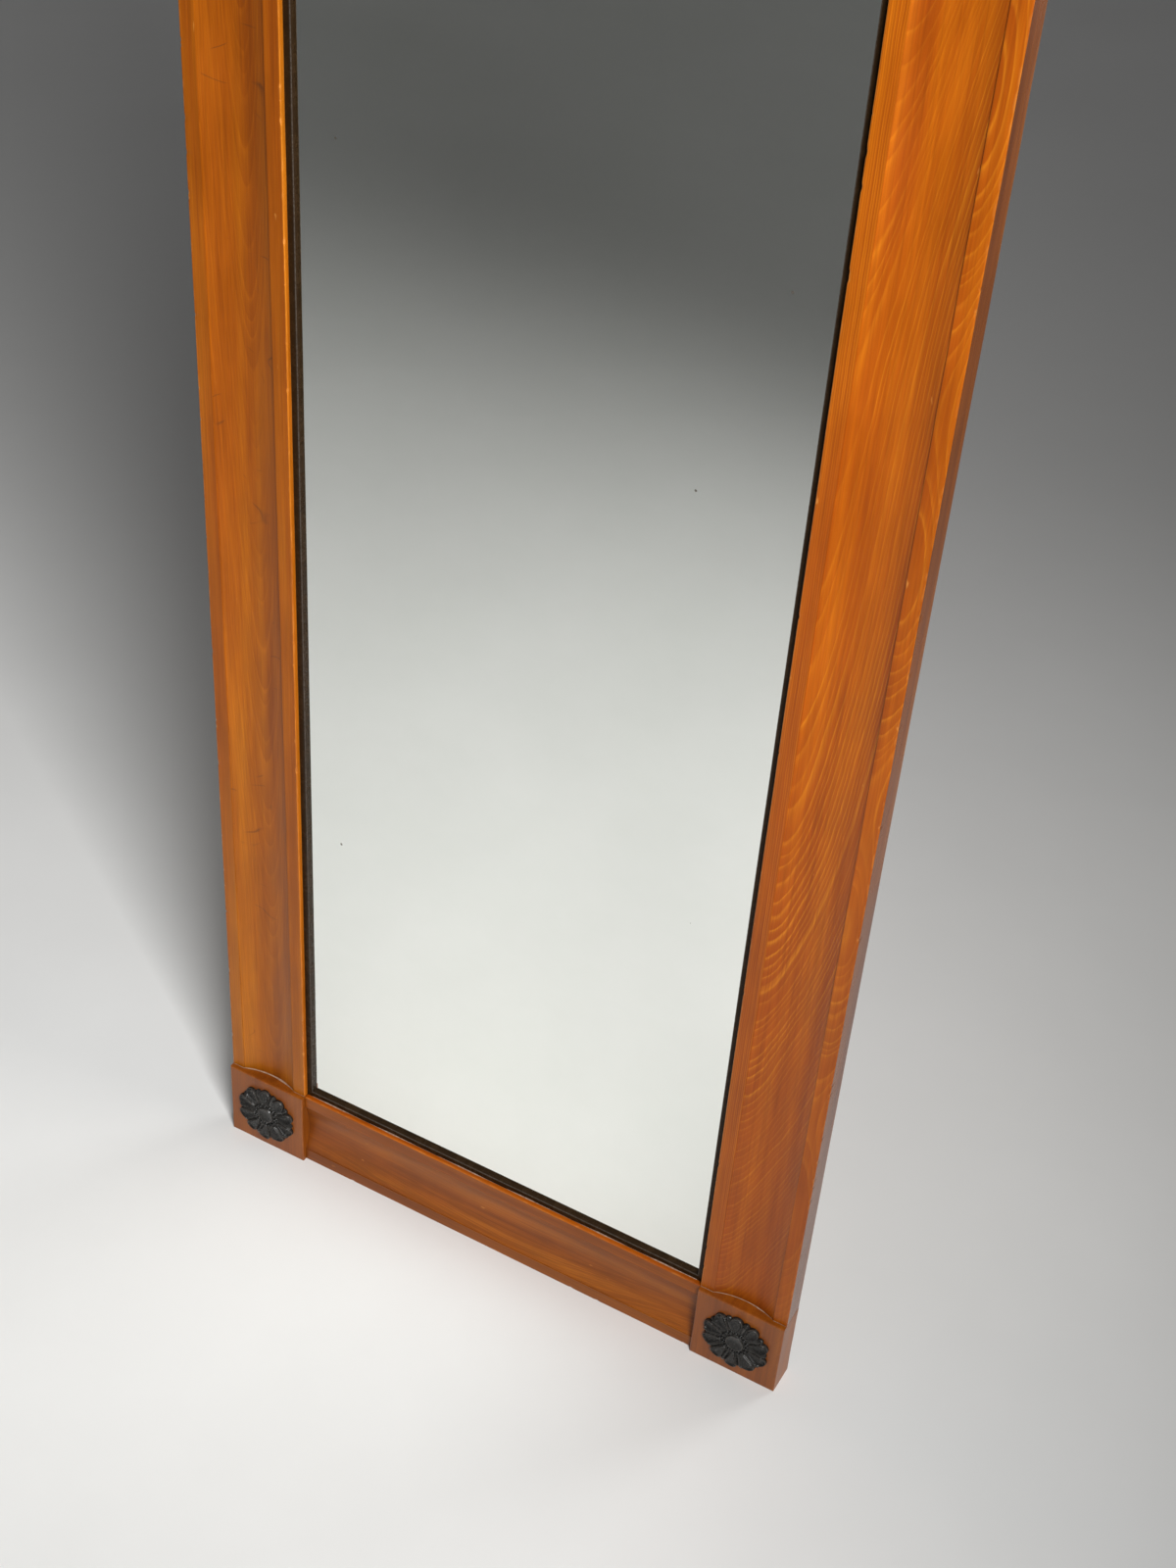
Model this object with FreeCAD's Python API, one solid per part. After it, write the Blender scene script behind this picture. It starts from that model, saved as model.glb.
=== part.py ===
import FreeCAD, Part
import math
import os

from FreeCAD import Vector

os.makedirs("parts", exist_ok=True)

# Full-length mirror: a moulded hardwood frame with square corner blocks and carved rosettes,
# a black slip round the plate, and lapped backboards with two ring hangers behind.
# All sizes are in millimetres. The front of the mirror faces -Y and the floor is at Z = 0.

# Overall size of the frame
overall_width = 620.0
overall_height = 1640.0

# Square corner blocks; the stiles and rails between them are just as wide
block_size = 88.0
block_ease = 1.0

# Section of the stiles and rails, from the face of the blocks backwards
face_recess = 5.0
fillet_width = 14.0
cove_step = 0.8
cove_sag = 6.2
arris_ease = 0.6
sight_depth = 5.0
slip_thickness = 4.0
glass_thickness = 4.0
wedge_height = 4.0
board_thickness = 7.0
board_set = 2.0

# Rebates behind the sight edge: one for the glass, and a wider land for the backboards
glass_rebate = 9.0
board_land = 12.0

# Ebonised slip between the frame and the glass
slip_show = 6.0
slip_gap = 0.5
slip_ease = 0.6
glass_gap = 1.5

# Dowels between the blocks and the stiles and rails
dowel_diameter = 9.0
dowel_length = 40.0
dowel_fit = 0.1
dowel_end_gap = 1.0
dowel_edge = 22.0
dowel_pitch = 28.0

# Glue blocks that hold the glass in its rebate
wedge_width = 7.0
wedge_length = 40.0
wedge_clear = 0.4
side_wedges = 4
end_wedges = 2

# Ship-lapped backboards and their screws
board_names = ("backboard_left", "backboard_middle", "backboard_right")
board_gap = 1.0
lap_width = 8.0
board_screw_diameter = 3.5
board_screw_length = 14.0
side_screws = 5
side_screw_margin = 70.0

# Carved rosettes
rosette_diameter = 68.0
rosette_rise = 5.4
tip_rise = 3.6
heart_rise = 3.0
web_rise = 1.9
petal_count = 10
petal_width = 12.6
petal_root_width = 3.8
petal_rim = 1.1
petal_hollow = 2.7
root_hollow = 0.9
sepal_width = 6.6
sepal_short = 1.8
sepal_drop = 0.8
sepal_slope = 1.6
button_diameter = 19.0
button_rise = 3.6
button_rim = 1.2
button_dish = 1.3
bead_count = 16
bead_diameter = 3.6
bead_space = 0.6
spigot_diameter = 10.0
spigot_length = 8.0
spigot_fit = 0.1

# Strap hangers with a swinging ring, on the backs of the stiles
hanger_width = 20.0
hanger_length = 58.0
hanger_sheet = 1.6
hanger_edge = 33.0
hanger_below_top = 330.0
ring_wire = 4.0
ring_fit = 0.08
ring_end_gap = 0.6
ring_bend = 5.0
ring_leg = 4.0
ring_rest_tilt = 4.0
hanger_screw_diameter = 4.0
hanger_screw_length = 16.0
hanger_screw_first = 15.0
hanger_screw_pitch = 27.0

# All screws
screw_fit = 0.05
screw_head_ratio = 2.0
screw_slot_width = 0.8
screw_slot_depth = 0.7

# Depths worked out from the sizes above
block_depth = (face_recess + sight_depth + slip_thickness + glass_thickness
               + wedge_height + board_thickness + board_set)
wire_radius = ring_wire / 2
barrel_inner = wire_radius + ring_fit
barrel_outer = barrel_inner + hanger_sheet
ring_half = hanger_width / 2 + ring_end_gap + ring_bend
ring_drop = ring_bend + ring_leg + ring_half
ring_lean = ring_drop * math.sin(math.radians(ring_rest_tilt))
hardware_out = max(2 * barrel_outer, barrel_outer + ring_lean + wire_radius)
front = (rosette_rise - block_depth - hardware_out) / 2
back = front + block_depth
face = front + face_recess
slip_front = face + sight_depth
glass_front = slip_front + slip_thickness
glass_back = glass_front + glass_thickness
board_front = glass_back + wedge_height
board_back = board_front + board_thickness
cove_bottom = face + cove_step + cove_sag

# Lines in the plane of the frame
half_width = overall_width / 2
half_height = overall_height / 2
board_rebate = glass_rebate + board_land
sight_half = half_width - block_size
rebate_half = sight_half + glass_rebate
rebate_low = block_size - glass_rebate
block_middle = block_size / 2
dowel_depth = (cove_bottom + back) / 2
dowel_places = (dowel_edge, dowel_edge + dowel_pitch)

nodes = {}


def box(x0, x1, y0, y1, z0, z1):
    """Box between the given planes."""
    return Part.makeBox(x1 - x0, y1 - y0, z1 - z0, Vector(x0, y0, z0))


def mirrored_x(shape):
    """Copy on the other side of the frame's upright centre line."""
    return shape.mirror(Vector(0, 0, 0), Vector(1, 0, 0))


def mirrored_z(shape):
    """Copy on the other side of the frame's level centre line."""
    return shape.mirror(Vector(0, 0, half_height), Vector(0, 0, 1))


def moved(shape, x, y, z):
    """Copy shifted by the given amounts."""
    copy = shape.copy()
    copy.translate(Vector(x, y, z))
    return copy


def path_face(start, steps, place):
    """Flat face inside a closed path of lines and arcs; place() turns plane points into space points."""
    edges = []
    here = start
    for step in steps + [start]:
        if len(step) == 3:
            middle, end = step[1], step[2]
            edges.append(Part.Arc(place(*here), place(*middle), place(*end)).toShape())
        else:
            end = step
            edges.append(Part.makeLine(place(*here), place(*end)))
        here = end
    return Part.Face(Part.Wire(edges))


def eased(corner, before, after, radius):
    """Start of a rounded right-angled corner, and the arc that finishes it."""
    def towards(target):
        length = math.hypot(target[0] - corner[0], target[1] - corner[1])
        return [radius * (target[i] - corner[i]) / length for i in (0, 1)]
    one = towards(before)
    two = towards(after)
    bulge = 1 - math.sqrt(0.5)
    begin = (corner[0] + one[0], corner[1] + one[1])
    middle = (corner[0] + bulge * (one[0] + two[0]), corner[1] + bulge * (one[1] + two[1]))
    end = (corner[0] + two[0], corner[1] + two[1])
    return [begin, ("arc", middle, end)]


def frame_section(place):
    """Section of a stile or rail: band, cove, band, sight edge, and the two rebates behind."""
    outer = (0, face)
    inner = (block_size, face)
    cove_start = fillet_width
    cove_end = block_size - fillet_width
    edge = face + cove_step
    steps = eased(outer, (0, back), (cove_start, face), arris_ease)
    steps += [(cove_start, face), (cove_start, edge)]
    steps += [("arc", (block_size / 2, cove_bottom), (cove_end, edge)), (cove_end, face)]
    steps += eased(inner, (cove_end, face), (block_size, slip_front), arris_ease)
    steps += [(block_size, slip_front), (block_size - glass_rebate, slip_front)]
    steps += [(block_size - glass_rebate, board_front), (block_size - board_rebate, board_front)]
    steps += [(block_size - board_rebate, back)]
    return path_face((0, back), steps, place)


def drilled(shape, holes):
    """Shape with a list of hole solids taken out."""
    return shape.cut(Part.makeCompound(holes))


def screw(diameter, length):
    """Countersunk slotted wood screw along -Z, with the top of its head at Z = 0."""
    shank = diameter / 2
    head = shank * screw_head_ratio
    rise = head - shank
    tip = diameter
    points = [(0, 0), (head, 0), (shank, -rise), (shank, tip - length), (0, -length)]
    outline = Part.makePolygon([Vector(r, 0, z) for r, z in points + points[:1]])
    body = Part.Face(outline).revolve(Vector(0, 0, 0), Vector(0, 0, 1), 360)
    half_slot = screw_slot_width / 2
    return body.cut(box(-head, head, -half_slot, half_slot, -screw_slot_depth, rise))


def screw_hole(diameter, length):
    """Matching hole along -Z for that screw, countersink included."""
    shank = diameter / 2 + screw_fit
    head = diameter / 2 * screw_head_ratio + screw_fit
    rise = head - shank
    sink = Part.makeCone(shank, head, rise, Vector(0, 0, -rise))
    return Part.makeCylinder(shank, length, Vector(0, 0, -length)).fuse(sink)


def from_behind(shape, x, y, z):
    """Turn a solid that points along -Z so that it enters the back of the frame at a point."""
    copy = shape.copy()
    copy.rotate(Vector(0, 0, 0), Vector(1, 0, 0), -90)
    copy.translate(Vector(x, y, z))
    return copy


# Screw places: along the stiles, along the rails, and on the hanger straps
land_middle = glass_rebate + board_land / 2
screw_x = sight_half + land_middle
screw_low = block_size - land_middle
screw_high = overall_height - screw_low
side_first = block_size + side_screw_margin
side_step = (overall_height - 2 * side_first) / (side_screws - 1)
side_heights = [side_first + side_step * i for i in range(side_screws)]
board_span = 2 * (sight_half + board_rebate - board_gap)
board_count = len(board_names)
board_pitch = board_span / board_count
board_middles = [board_pitch * (i - (board_count - 1) / 2) for i in range(board_count)]
board_screw_places = [(side * screw_x, z) for side in (-1, 1) for z in side_heights]
board_screw_places += [(x, z) for x in board_middles for z in (screw_low, screw_high)]
hanger_x = half_width - hanger_edge
ring_axis_z = overall_height - hanger_below_top
ring_axis_y = back + barrel_outer
hanger_screw_heights = [ring_axis_z - hanger_screw_first - hanger_screw_pitch * i for i in (0, 1)]
strap_back = back + hanger_sheet
hanger_screw_places = [(side * hanger_x, z) for side in (-1, 1) for z in hanger_screw_heights]
board_hole = screw_hole(board_screw_diameter, board_screw_length)
board_holes = [from_behind(board_hole, x, board_back, z) for x, z in board_screw_places]
hanger_hole = screw_hole(hanger_screw_diameter, hanger_screw_length)
hanger_holes = [from_behind(hanger_hole, x, strap_back, z) for x, z in hanger_screw_places]

# Dowel holes of one corner, the lower left one: two upright and two level
hole_radius = dowel_diameter / 2 + dowel_fit
hole_half = dowel_length / 2 + dowel_end_gap
upright_holes = []
level_holes = []
upright_dowels = []
level_dowels = []
for place_along in dowel_places:
    x = -half_width + place_along
    z = place_along
    top = Vector(x, dowel_depth, block_size)
    side = Vector(-sight_half, dowel_depth, z)
    up = Vector(0, 0, 1)
    right = Vector(1, 0, 0)
    upright_holes.append(Part.makeCylinder(hole_radius, 2 * hole_half, top - up * hole_half, up))
    level_holes.append(Part.makeCylinder(hole_radius, 2 * hole_half, side - right * hole_half, right))
    radius = dowel_diameter / 2
    upright_dowels.append(Part.makeCylinder(radius, dowel_length, top - up * dowel_length / 2, up))
    level_dowels.append(Part.makeCylinder(radius, dowel_length, side - right * dowel_length / 2, right))

# Stiles and rails
stile = frame_section(lambda u, y: Vector(u - half_width, y, block_size))
stile = stile.extrude(Vector(0, 0, overall_height - 2 * block_size))
stile = drilled(stile, upright_holes + [mirrored_z(h) for h in upright_holes])
stile = drilled(stile, board_holes + hanger_holes)
nodes["left_stile"] = stile
nodes["right_stile"] = mirrored_x(stile)
rail = frame_section(lambda u, y: Vector(-sight_half, y, u))
rail = rail.extrude(Vector(2 * sight_half, 0, 0))
rail = drilled(rail, level_holes + [mirrored_x(h) for h in level_holes])
rail = drilled(rail, board_holes)
nodes["bottom_rail"] = rail
nodes["top_rail"] = mirrored_z(rail)

# Corner blocks: front edges eased, inner back corner notched for slip, glass and boards
block = box(-half_width, -sight_half, front, back, 0, block_size)
face_edges = [e for e in block.Edges if all(abs(v.Y - front) < 1e-6 for v in e.Vertexes)]
block = block.makeFillet(block_ease, face_edges)
block = block.cut(box(-rebate_half, -sight_half, slip_front, back, rebate_low, block_size))
block = block.cut(box(-sight_half - board_rebate, -sight_half, board_front, back,
                      block_size - board_rebate, block_size))
spigot_hole = Part.makeCylinder(spigot_diameter / 2 + spigot_fit, spigot_length + dowel_end_gap,
                                Vector(block_middle - half_width, front, block_middle), Vector(0, 1, 0))
block = drilled(block, upright_holes + level_holes + [spigot_hole])
nodes["corner_block_bottom_left"] = block
nodes["corner_block_bottom_right"] = mirrored_x(block)
nodes["corner_block_top_left"] = mirrored_z(block)
nodes["corner_block_top_right"] = mirrored_x(mirrored_z(block))

corner_uprights = upright_dowels + [mirrored_x(d) for d in upright_dowels]
corner_levels = level_dowels + [mirrored_x(d) for d in level_dowels]
nodes["stile_dowels"] = Part.makeCompound(corner_uprights + [mirrored_z(d) for d in corner_uprights])
nodes["rail_dowels"] = Part.makeCompound(corner_levels + [mirrored_z(d) for d in corner_levels])


def slip_bar(half_long, outer, inner, place):
    """Mitred slip: a bar from its outer to its inner line, ends cut at 45 degrees."""
    corner = (inner, slip_front)
    steps = eased(corner, (outer, slip_front), (inner, glass_front), slip_ease)
    steps += [(inner, glass_front), (outer, glass_front)]
    section = path_face((outer, slip_front), steps, lambda u, y: place(-half_long, y, u))
    run = place(half_long, 0, 0) - place(-half_long, 0, 0)
    bar = section.extrude(run)
    short = half_long - abs(inner - outer)
    mitre = [(-half_long, outer), (half_long, outer), (short, inner), (-short, inner)]
    outline = Part.makePolygon([place(a, slip_front, u) for a, u in mitre + mitre[:1]])
    return bar.common(Part.Face(outline).extrude(Vector(0, slip_thickness, 0)))


slip_half = rebate_half - slip_gap
slip_low = rebate_low + slip_gap
slip_high_half = half_height - slip_low
bottom_slip = slip_bar(slip_half, slip_low, block_size + slip_show, lambda a, y, u: Vector(a, y, u))
left_slip = slip_bar(slip_high_half, -slip_half, -sight_half + slip_show,
                     lambda a, y, u: Vector(u, y, half_height + a))
nodes["slip_bottom"] = bottom_slip
nodes["slip_top"] = mirrored_z(bottom_slip)
nodes["slip_left"] = left_slip
nodes["slip_right"] = mirrored_x(left_slip)

# Mirror plate: it stands on the bottom of its rebate
glass_half = rebate_half - glass_gap
nodes["mirror_glass"] = box(-glass_half, glass_half, glass_front, glass_back,
                            rebate_low, overall_height - rebate_low - 2 * glass_gap)


def wedge(place):
    """Three-cornered glue block in the angle between the rebate and the back of the glass."""
    height = wedge_height - wedge_clear
    points = [(0, 0), (wedge_width, 0), (0, height)]
    start = Part.makePolygon([place(-wedge_length / 2, glass_back + y, u) for u, y in points + points[:1]])
    run = place(wedge_length, 0, 0) - place(0, 0, 0)
    return Part.Face(start).extrude(run)


wedges = []
side_pitch = (overall_height - 2 * block_size) / side_wedges
for i in range(side_wedges):
    middle = block_size + side_pitch * (i + 0.5)
    wedges.append(wedge(lambda a, y, u: Vector(u - rebate_half, y, middle + a)))
    wedges.append(wedge(lambda a, y, u: Vector(rebate_half - u, y, middle + a)))
end_pitch = 2 * sight_half / end_wedges
for i in range(end_wedges):
    middle = end_pitch * (i + 0.5) - sight_half
    wedges.append(wedge(lambda a, y, u: Vector(middle + a, y, rebate_low + u)))
    wedges.append(wedge(lambda a, y, u: Vector(middle + a, y, overall_height - rebate_low - u)))
nodes["glass_wedges"] = Part.makeCompound(wedges)

# Backboards: each one laps over the next by half its thickness
board_low = block_size - board_rebate + board_gap
board_high = overall_height - board_low
lap_split = (board_front + board_back) / 2
for i, name in enumerate(board_names):
    x0 = board_middles[i] - board_pitch / 2
    x1 = board_middles[i] + board_pitch / 2
    last = i == board_count - 1
    board = box(x0, x1 if last else x1 - board_gap, board_front, board_back, board_low, board_high)
    if not last:
        tongue = box(x0 + lap_width, x1 + lap_width - board_gap, board_front, lap_split,
                     board_low, board_high)
        board = board.fuse(tongue).removeSplitter()
    if i > 0:
        board = board.cut(box(x0, x0 + lap_width, board_front, lap_split, board_low, board_high))
    nodes[name] = drilled(board, board_holes)
board_screw = screw(board_screw_diameter, board_screw_length)
nodes["backboard_screws"] = Part.makeCompound(
    [from_behind(board_screw, x, board_back, z) for x, z in board_screw_places])


def drop_outline(far, far_radius, near, near_radius):
    """Drop-shaped wire along +X: two round ends joined by straight sides."""
    lean = (far_radius - near_radius) / (far - near)
    rise = math.sqrt(1 - lean * lean)
    far_top = Vector(far + far_radius * lean, far_radius * rise, 0)
    near_top = Vector(near + near_radius * lean, near_radius * rise, 0)
    far_low = Vector(far_top.x, -far_top.y, 0)
    near_low = Vector(near_top.x, -near_top.y, 0)
    tip = Vector(far + far_radius, 0, 0)
    root = Vector(near - near_radius, 0, 0)
    edges = [Part.makeLine(near_top, far_top), Part.Arc(far_top, tip, far_low).toShape()]
    edges += [Part.makeLine(far_low, near_low), Part.Arc(near_low, root, near_top).toShape()]
    return Part.Wire(edges)


def spoon(near, far, near_radius, far_radius):
    """Round-ended tapering solid between two balls, used to hollow a petal."""
    span = far - near
    length = span.Length
    lean = (far_radius - near_radius) / length
    angle = math.acos(lean)

    def on_ball(centre, radius, turn):
        return Vector(centre + radius * math.cos(turn), radius * math.sin(turn), 0)
    half_turn = (angle + math.pi) / 2
    low = on_ball(0, near_radius, math.pi)
    low_side = on_ball(0, near_radius, angle)
    high_side = on_ball(length, far_radius, angle)
    high = on_ball(length, far_radius, 0)
    edges = [Part.Arc(low, on_ball(0, near_radius, half_turn), low_side).toShape()]
    edges += [Part.makeLine(low_side, high_side)]
    edges += [Part.Arc(high_side, on_ball(length, far_radius, angle / 2), high).toShape()]
    edges += [Part.makeLine(high, low)]
    solid = Part.Face(Part.Wire(edges)).revolve(Vector(0, 0, 0), Vector(1, 0, 0), 360)
    solid.rotate(Vector(0, 0, 0), Vector(0, 1, 0), -math.degrees(math.atan2(span.z, span.x)))
    solid.translate(near)
    return solid


def ball_for(half_span, depth):
    """Radius of the ball that cuts a hollow of a given half width and depth."""
    return (half_span ** 2 + depth ** 2) / (2 * depth)


def carved_rosette():
    """Rosette facing +Z with its back at Z = 0: spoon petals, leaves between them, beads and a button."""
    tip = rosette_diameter / 2
    far_radius = petal_width / 2
    near_radius = petal_root_width / 2
    bead_circle = button_diameter / 2 + bead_space + bead_diameter / 2
    near = bead_circle + bead_diameter / 2 + near_radius
    far = tip - far_radius
    crest = far + near_radius
    above = 2 * rosette_rise
    # Top of the petals: rises outwards to the crest, then falls to the tips
    profile = [(0, 0), (0, heart_rise), (bead_circle, heart_rise), (crest, rosette_rise),
               (tip + petal_rim, tip_rise), (tip + petal_rim, 0)]
    crown = Part.Face(Part.makePolygon([Vector(r, 0, z) for r, z in profile + profile[:1]]))
    crown = crown.revolve(Vector(0, 0, 0), Vector(0, 0, 1), 360)
    rise_per_mm = (rosette_rise - heart_rise) / (crest - bead_circle)
    near_top = heart_rise + rise_per_mm * (near - bead_circle)
    far_top = heart_rise + rise_per_mm * (far - bead_circle)
    far_ball = ball_for(far_radius - petal_rim, petal_hollow)
    near_ball = ball_for(near_radius - petal_rim / 2, root_hollow)
    hollow = spoon(Vector(near, 0, near_top + near_ball - root_hollow),
                   Vector(far, 0, far_top + far_ball - petal_hollow), near_ball, far_ball)
    petal = Part.Face(drop_outline(far, far_radius, near, near_radius)).extrude(Vector(0, 0, above))
    petal = petal.common(crown).cut(hollow)
    # Leaf: a narrow roof whose ridge rises outwards
    leaf_radius = sepal_width / 2
    leaf_far = tip - sepal_short - leaf_radius
    leaf = Part.Face(drop_outline(leaf_far, leaf_radius, near, near_radius))
    leaf = leaf.extrude(Vector(0, 0, above))
    ridge = heart_rise - sepal_drop - rise_per_mm * bead_circle
    eave = ridge - sepal_slope
    gable = [(-leaf_radius, -above), (-leaf_radius, eave), (0, ridge),
             (leaf_radius, eave), (leaf_radius, -above)]
    roof = Part.Face(Part.makePolygon([Vector(0, y, z) for y, z in gable + gable[:1]]))
    roof = roof.extrude(Vector(2 * tip, 0, 0))
    roof.rotate(Vector(0, 0, 0), Vector(0, 1, 0), -math.degrees(math.atan(rise_per_mm)))
    leaf = leaf.common(roof)
    web = Part.makeCylinder(leaf_far, web_rise)
    button = Part.makeCylinder(button_diameter / 2, button_rise)
    dish_ball = ball_for(button_diameter / 2 - button_rim, button_dish)
    dish = Part.makeSphere(dish_ball, Vector(0, 0, button_rise + dish_ball - button_dish))
    bead = Part.makeSphere(bead_diameter / 2, Vector(bead_circle, 0, web_rise))
    bead = bead.common(box(-tip, tip, -tip, tip, 0, above))
    spigot = Part.makeCylinder(spigot_diameter / 2, spigot_length, Vector(0, 0, -spigot_length))
    pieces = [button.cut(dish), spigot]
    step = 360.0 / petal_count
    axis = Vector(0, 0, 1)
    for i in range(petal_count):
        for shape, turn in ((petal, 90 + step * i), (leaf, 90 + step * (i + 0.5))):
            copy = shape.copy()
            copy.rotate(Vector(0, 0, 0), axis, turn)
            pieces.append(copy)
    for i in range(bead_count):
        copy = bead.copy()
        copy.rotate(Vector(0, 0, 0), axis, 360.0 * i / bead_count)
        pieces.append(copy)
    return web.multiFuse(pieces).removeSplitter()


rosette = carved_rosette()
rosette.rotate(Vector(0, 0, 0), Vector(1, 0, 0), 90)
rosette_x = half_width - block_middle
rosette_places = {"bottom_left": (-rosette_x, block_middle), "bottom_right": (rosette_x, block_middle),
                  "top_left": (-rosette_x, overall_height - block_middle),
                  "top_right": (rosette_x, overall_height - block_middle)}
for corner, (x, z) in rosette_places.items():
    nodes["rosette_" + corner] = moved(rosette, x, front, z)


def strap_plate(x):
    """Strap hanger: a flat strap with a round lower end, its top rolled round the ring's bar."""
    half = hanger_width / 2
    low = ring_axis_z - hanger_length + half
    strap = box(x - half, x + half, back, strap_back, low, ring_axis_z)
    strap = strap.fuse(Part.makeCylinder(half, hanger_sheet, Vector(x, back, low), Vector(0, 1, 0)))
    centre = Vector(x - half, ring_axis_y, ring_axis_z)
    along = Vector(1, 0, 0)
    strap = strap.fuse(Part.makeCylinder(barrel_outer, hanger_width, centre, along))
    strap = strap.cut(Part.makeCylinder(barrel_inner, hanger_width, centre, along))
    return drilled(strap.removeSplitter(), hanger_holes)


def hanging_ring(x):
    """Ring bent from wire: a straight bar, two bends, two legs and a half-round bow, hanging at rest."""
    side = hanger_width / 2 + ring_end_gap
    along = Vector(1, 0, 0)
    out = Vector(0, 1, 0)
    down = Vector(0, 0, -1)
    bar = Part.makeCylinder(wire_radius, 2 * side, Vector(-side, 0, 0), along)
    bend = Part.Face(Part.Wire(Part.makeCircle(wire_radius, Vector(side, 0, 0), along)))
    bend = bend.revolve(Vector(side, 0, -ring_bend), out, 90)
    leg = Part.makeCylinder(wire_radius, ring_leg, Vector(ring_half, 0, -ring_bend), down)
    bow_z = -ring_bend - ring_leg
    bow = Part.Face(Part.Wire(Part.makeCircle(wire_radius, Vector(ring_half, 0, bow_z), down)))
    bow = bow.revolve(Vector(0, 0, bow_z), out, 180)
    ring = bar.multiFuse([bend, mirrored_x(bend), leg, mirrored_x(leg), bow]).removeSplitter()
    ring.rotate(Vector(0, 0, 0), along, ring_rest_tilt)
    ring.translate(Vector(x, ring_axis_y, ring_axis_z))
    return ring


nodes["hanger_strap_left"] = strap_plate(-hanger_x)
nodes["hanger_strap_right"] = strap_plate(hanger_x)
nodes["hanger_ring_left"] = hanging_ring(-hanger_x)
nodes["hanger_ring_right"] = hanging_ring(hanger_x)
hanger_screw = screw(hanger_screw_diameter, hanger_screw_length)
nodes["hanger_screws"] = Part.makeCompound(
    [from_behind(hanger_screw, x, strap_back, z) for x, z in hanger_screw_places])

for name, shape in nodes.items():
    shape.exportStep("parts/" + name + ".step")
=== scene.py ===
"""Looks of the full-length mirror: carved and worn meshes over the frame, materials, light and camera."""
import math

import bmesh
import bpy
import numpy as np
from mathutils import Matrix, Vector, noise


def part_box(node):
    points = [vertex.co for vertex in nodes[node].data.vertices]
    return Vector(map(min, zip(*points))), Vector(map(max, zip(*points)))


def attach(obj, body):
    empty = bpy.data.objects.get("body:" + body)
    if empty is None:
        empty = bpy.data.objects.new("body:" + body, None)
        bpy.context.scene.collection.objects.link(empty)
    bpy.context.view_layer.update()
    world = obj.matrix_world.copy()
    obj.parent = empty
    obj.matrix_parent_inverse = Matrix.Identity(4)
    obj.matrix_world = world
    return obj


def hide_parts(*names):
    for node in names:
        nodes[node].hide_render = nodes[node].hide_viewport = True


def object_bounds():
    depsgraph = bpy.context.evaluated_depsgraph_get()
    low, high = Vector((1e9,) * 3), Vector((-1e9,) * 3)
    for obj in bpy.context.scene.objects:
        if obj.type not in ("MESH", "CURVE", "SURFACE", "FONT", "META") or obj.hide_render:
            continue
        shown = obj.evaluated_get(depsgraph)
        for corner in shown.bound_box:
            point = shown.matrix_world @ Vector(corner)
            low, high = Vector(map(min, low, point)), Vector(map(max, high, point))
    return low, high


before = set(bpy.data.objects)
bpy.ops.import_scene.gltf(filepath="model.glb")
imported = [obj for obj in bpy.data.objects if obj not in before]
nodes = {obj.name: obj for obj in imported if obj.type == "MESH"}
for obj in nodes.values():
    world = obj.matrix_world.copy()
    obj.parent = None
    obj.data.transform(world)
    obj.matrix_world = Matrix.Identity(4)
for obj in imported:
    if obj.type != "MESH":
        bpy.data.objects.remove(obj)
cad_low, cad_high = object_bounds()

# Lengths are in metres; small sizes are written in millimetres and multiplied by MM
MM = 0.001

# Without a seed, noise_vector differs from run to run
NOISE_SEED = 7
noise.seed_set(NOISE_SEED)

# Camera, fitted to the edges of the mirror in the photograph
CAMERA_PLACE = Vector((0.6696, -1.2157, 1.6076))
CAMERA_YAW = math.radians(26.646)
CAMERA_PITCH = math.radians(36.77)
CAMERA_ROLL = math.radians(-4.561)
CAMERA_LENS = 48.16

# Sizes of the moulding that the frame's boxes do not give; SEAM eases the ends where they meet a block
BAND_WIDTH = 14 * MM
COVE_STEP = 0.8 * MM
COVE_SAG = 6.2 * MM
GLASS_REBATE = 9 * MM
BOARD_REBATE = 21 * MM
ARRIS = 0.7 * MM
STEP_ARRIS = 0.25 * MM
BACK_ARRIS = 0.4 * MM
REBATE_ARRIS = 0.2 * MM
REBATE_BACK_ARRIS = 0.3 * MM
SEAM = 0.35 * MM

# Spacing of the points; LIP is how far the first one lies from an eased edge
LIP = 1.3 * MM
RUN_STEP = 5 * MM
STATION_STEP = 8 * MM
LEAST_STEP = 0.15 * MM
END_CLEAR = 2 * MM
COVE_POINTS = 26
EASE_TURNS = [math.pi / 2 * step / 4 for step in range(5)]
WELD = 1e-7

# Nicks of the arrises: size in millimetres, depth as a share of the size, and where along a nick points lie
NICK_SIZES = (0.8, 4.5)
NICK_SLOPES = (0.12, 0.3)
NICK_DEEPEST = 0.5 * MM
NICK_SHARES = (-1, -0.6, -0.3, 0, 0.3, 0.6, 1)

# How worn the arrises are, how much dirt with painted shade darkens the steps and the ends, and how much dirt
# lies in the seams
ARRIS_WEAR = 0.5
NICK_WEAR = 2.5
STEP_SHADE_AND_DIRT = 0.18
END_SHADE_AND_DIRT = 0.2
COVE_END_SHADE_AND_DIRT = 0.55
SEAM_GRIME = 1.6
SHADE_AND_DIRT_REACH = 7 * MM

# Unevenness of the worked surfaces: length of its waves and how far they stray
BAR_UNEVEN = (45 * MM, 0.16 * MM)
BLOCK_UNEVEN = (30 * MM, 0.22 * MM)
SLIP_UNEVEN = (60 * MM, 0.12 * MM)
CARVING_UNEVEN = (5 * MM, 0.1 * MM)

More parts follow.
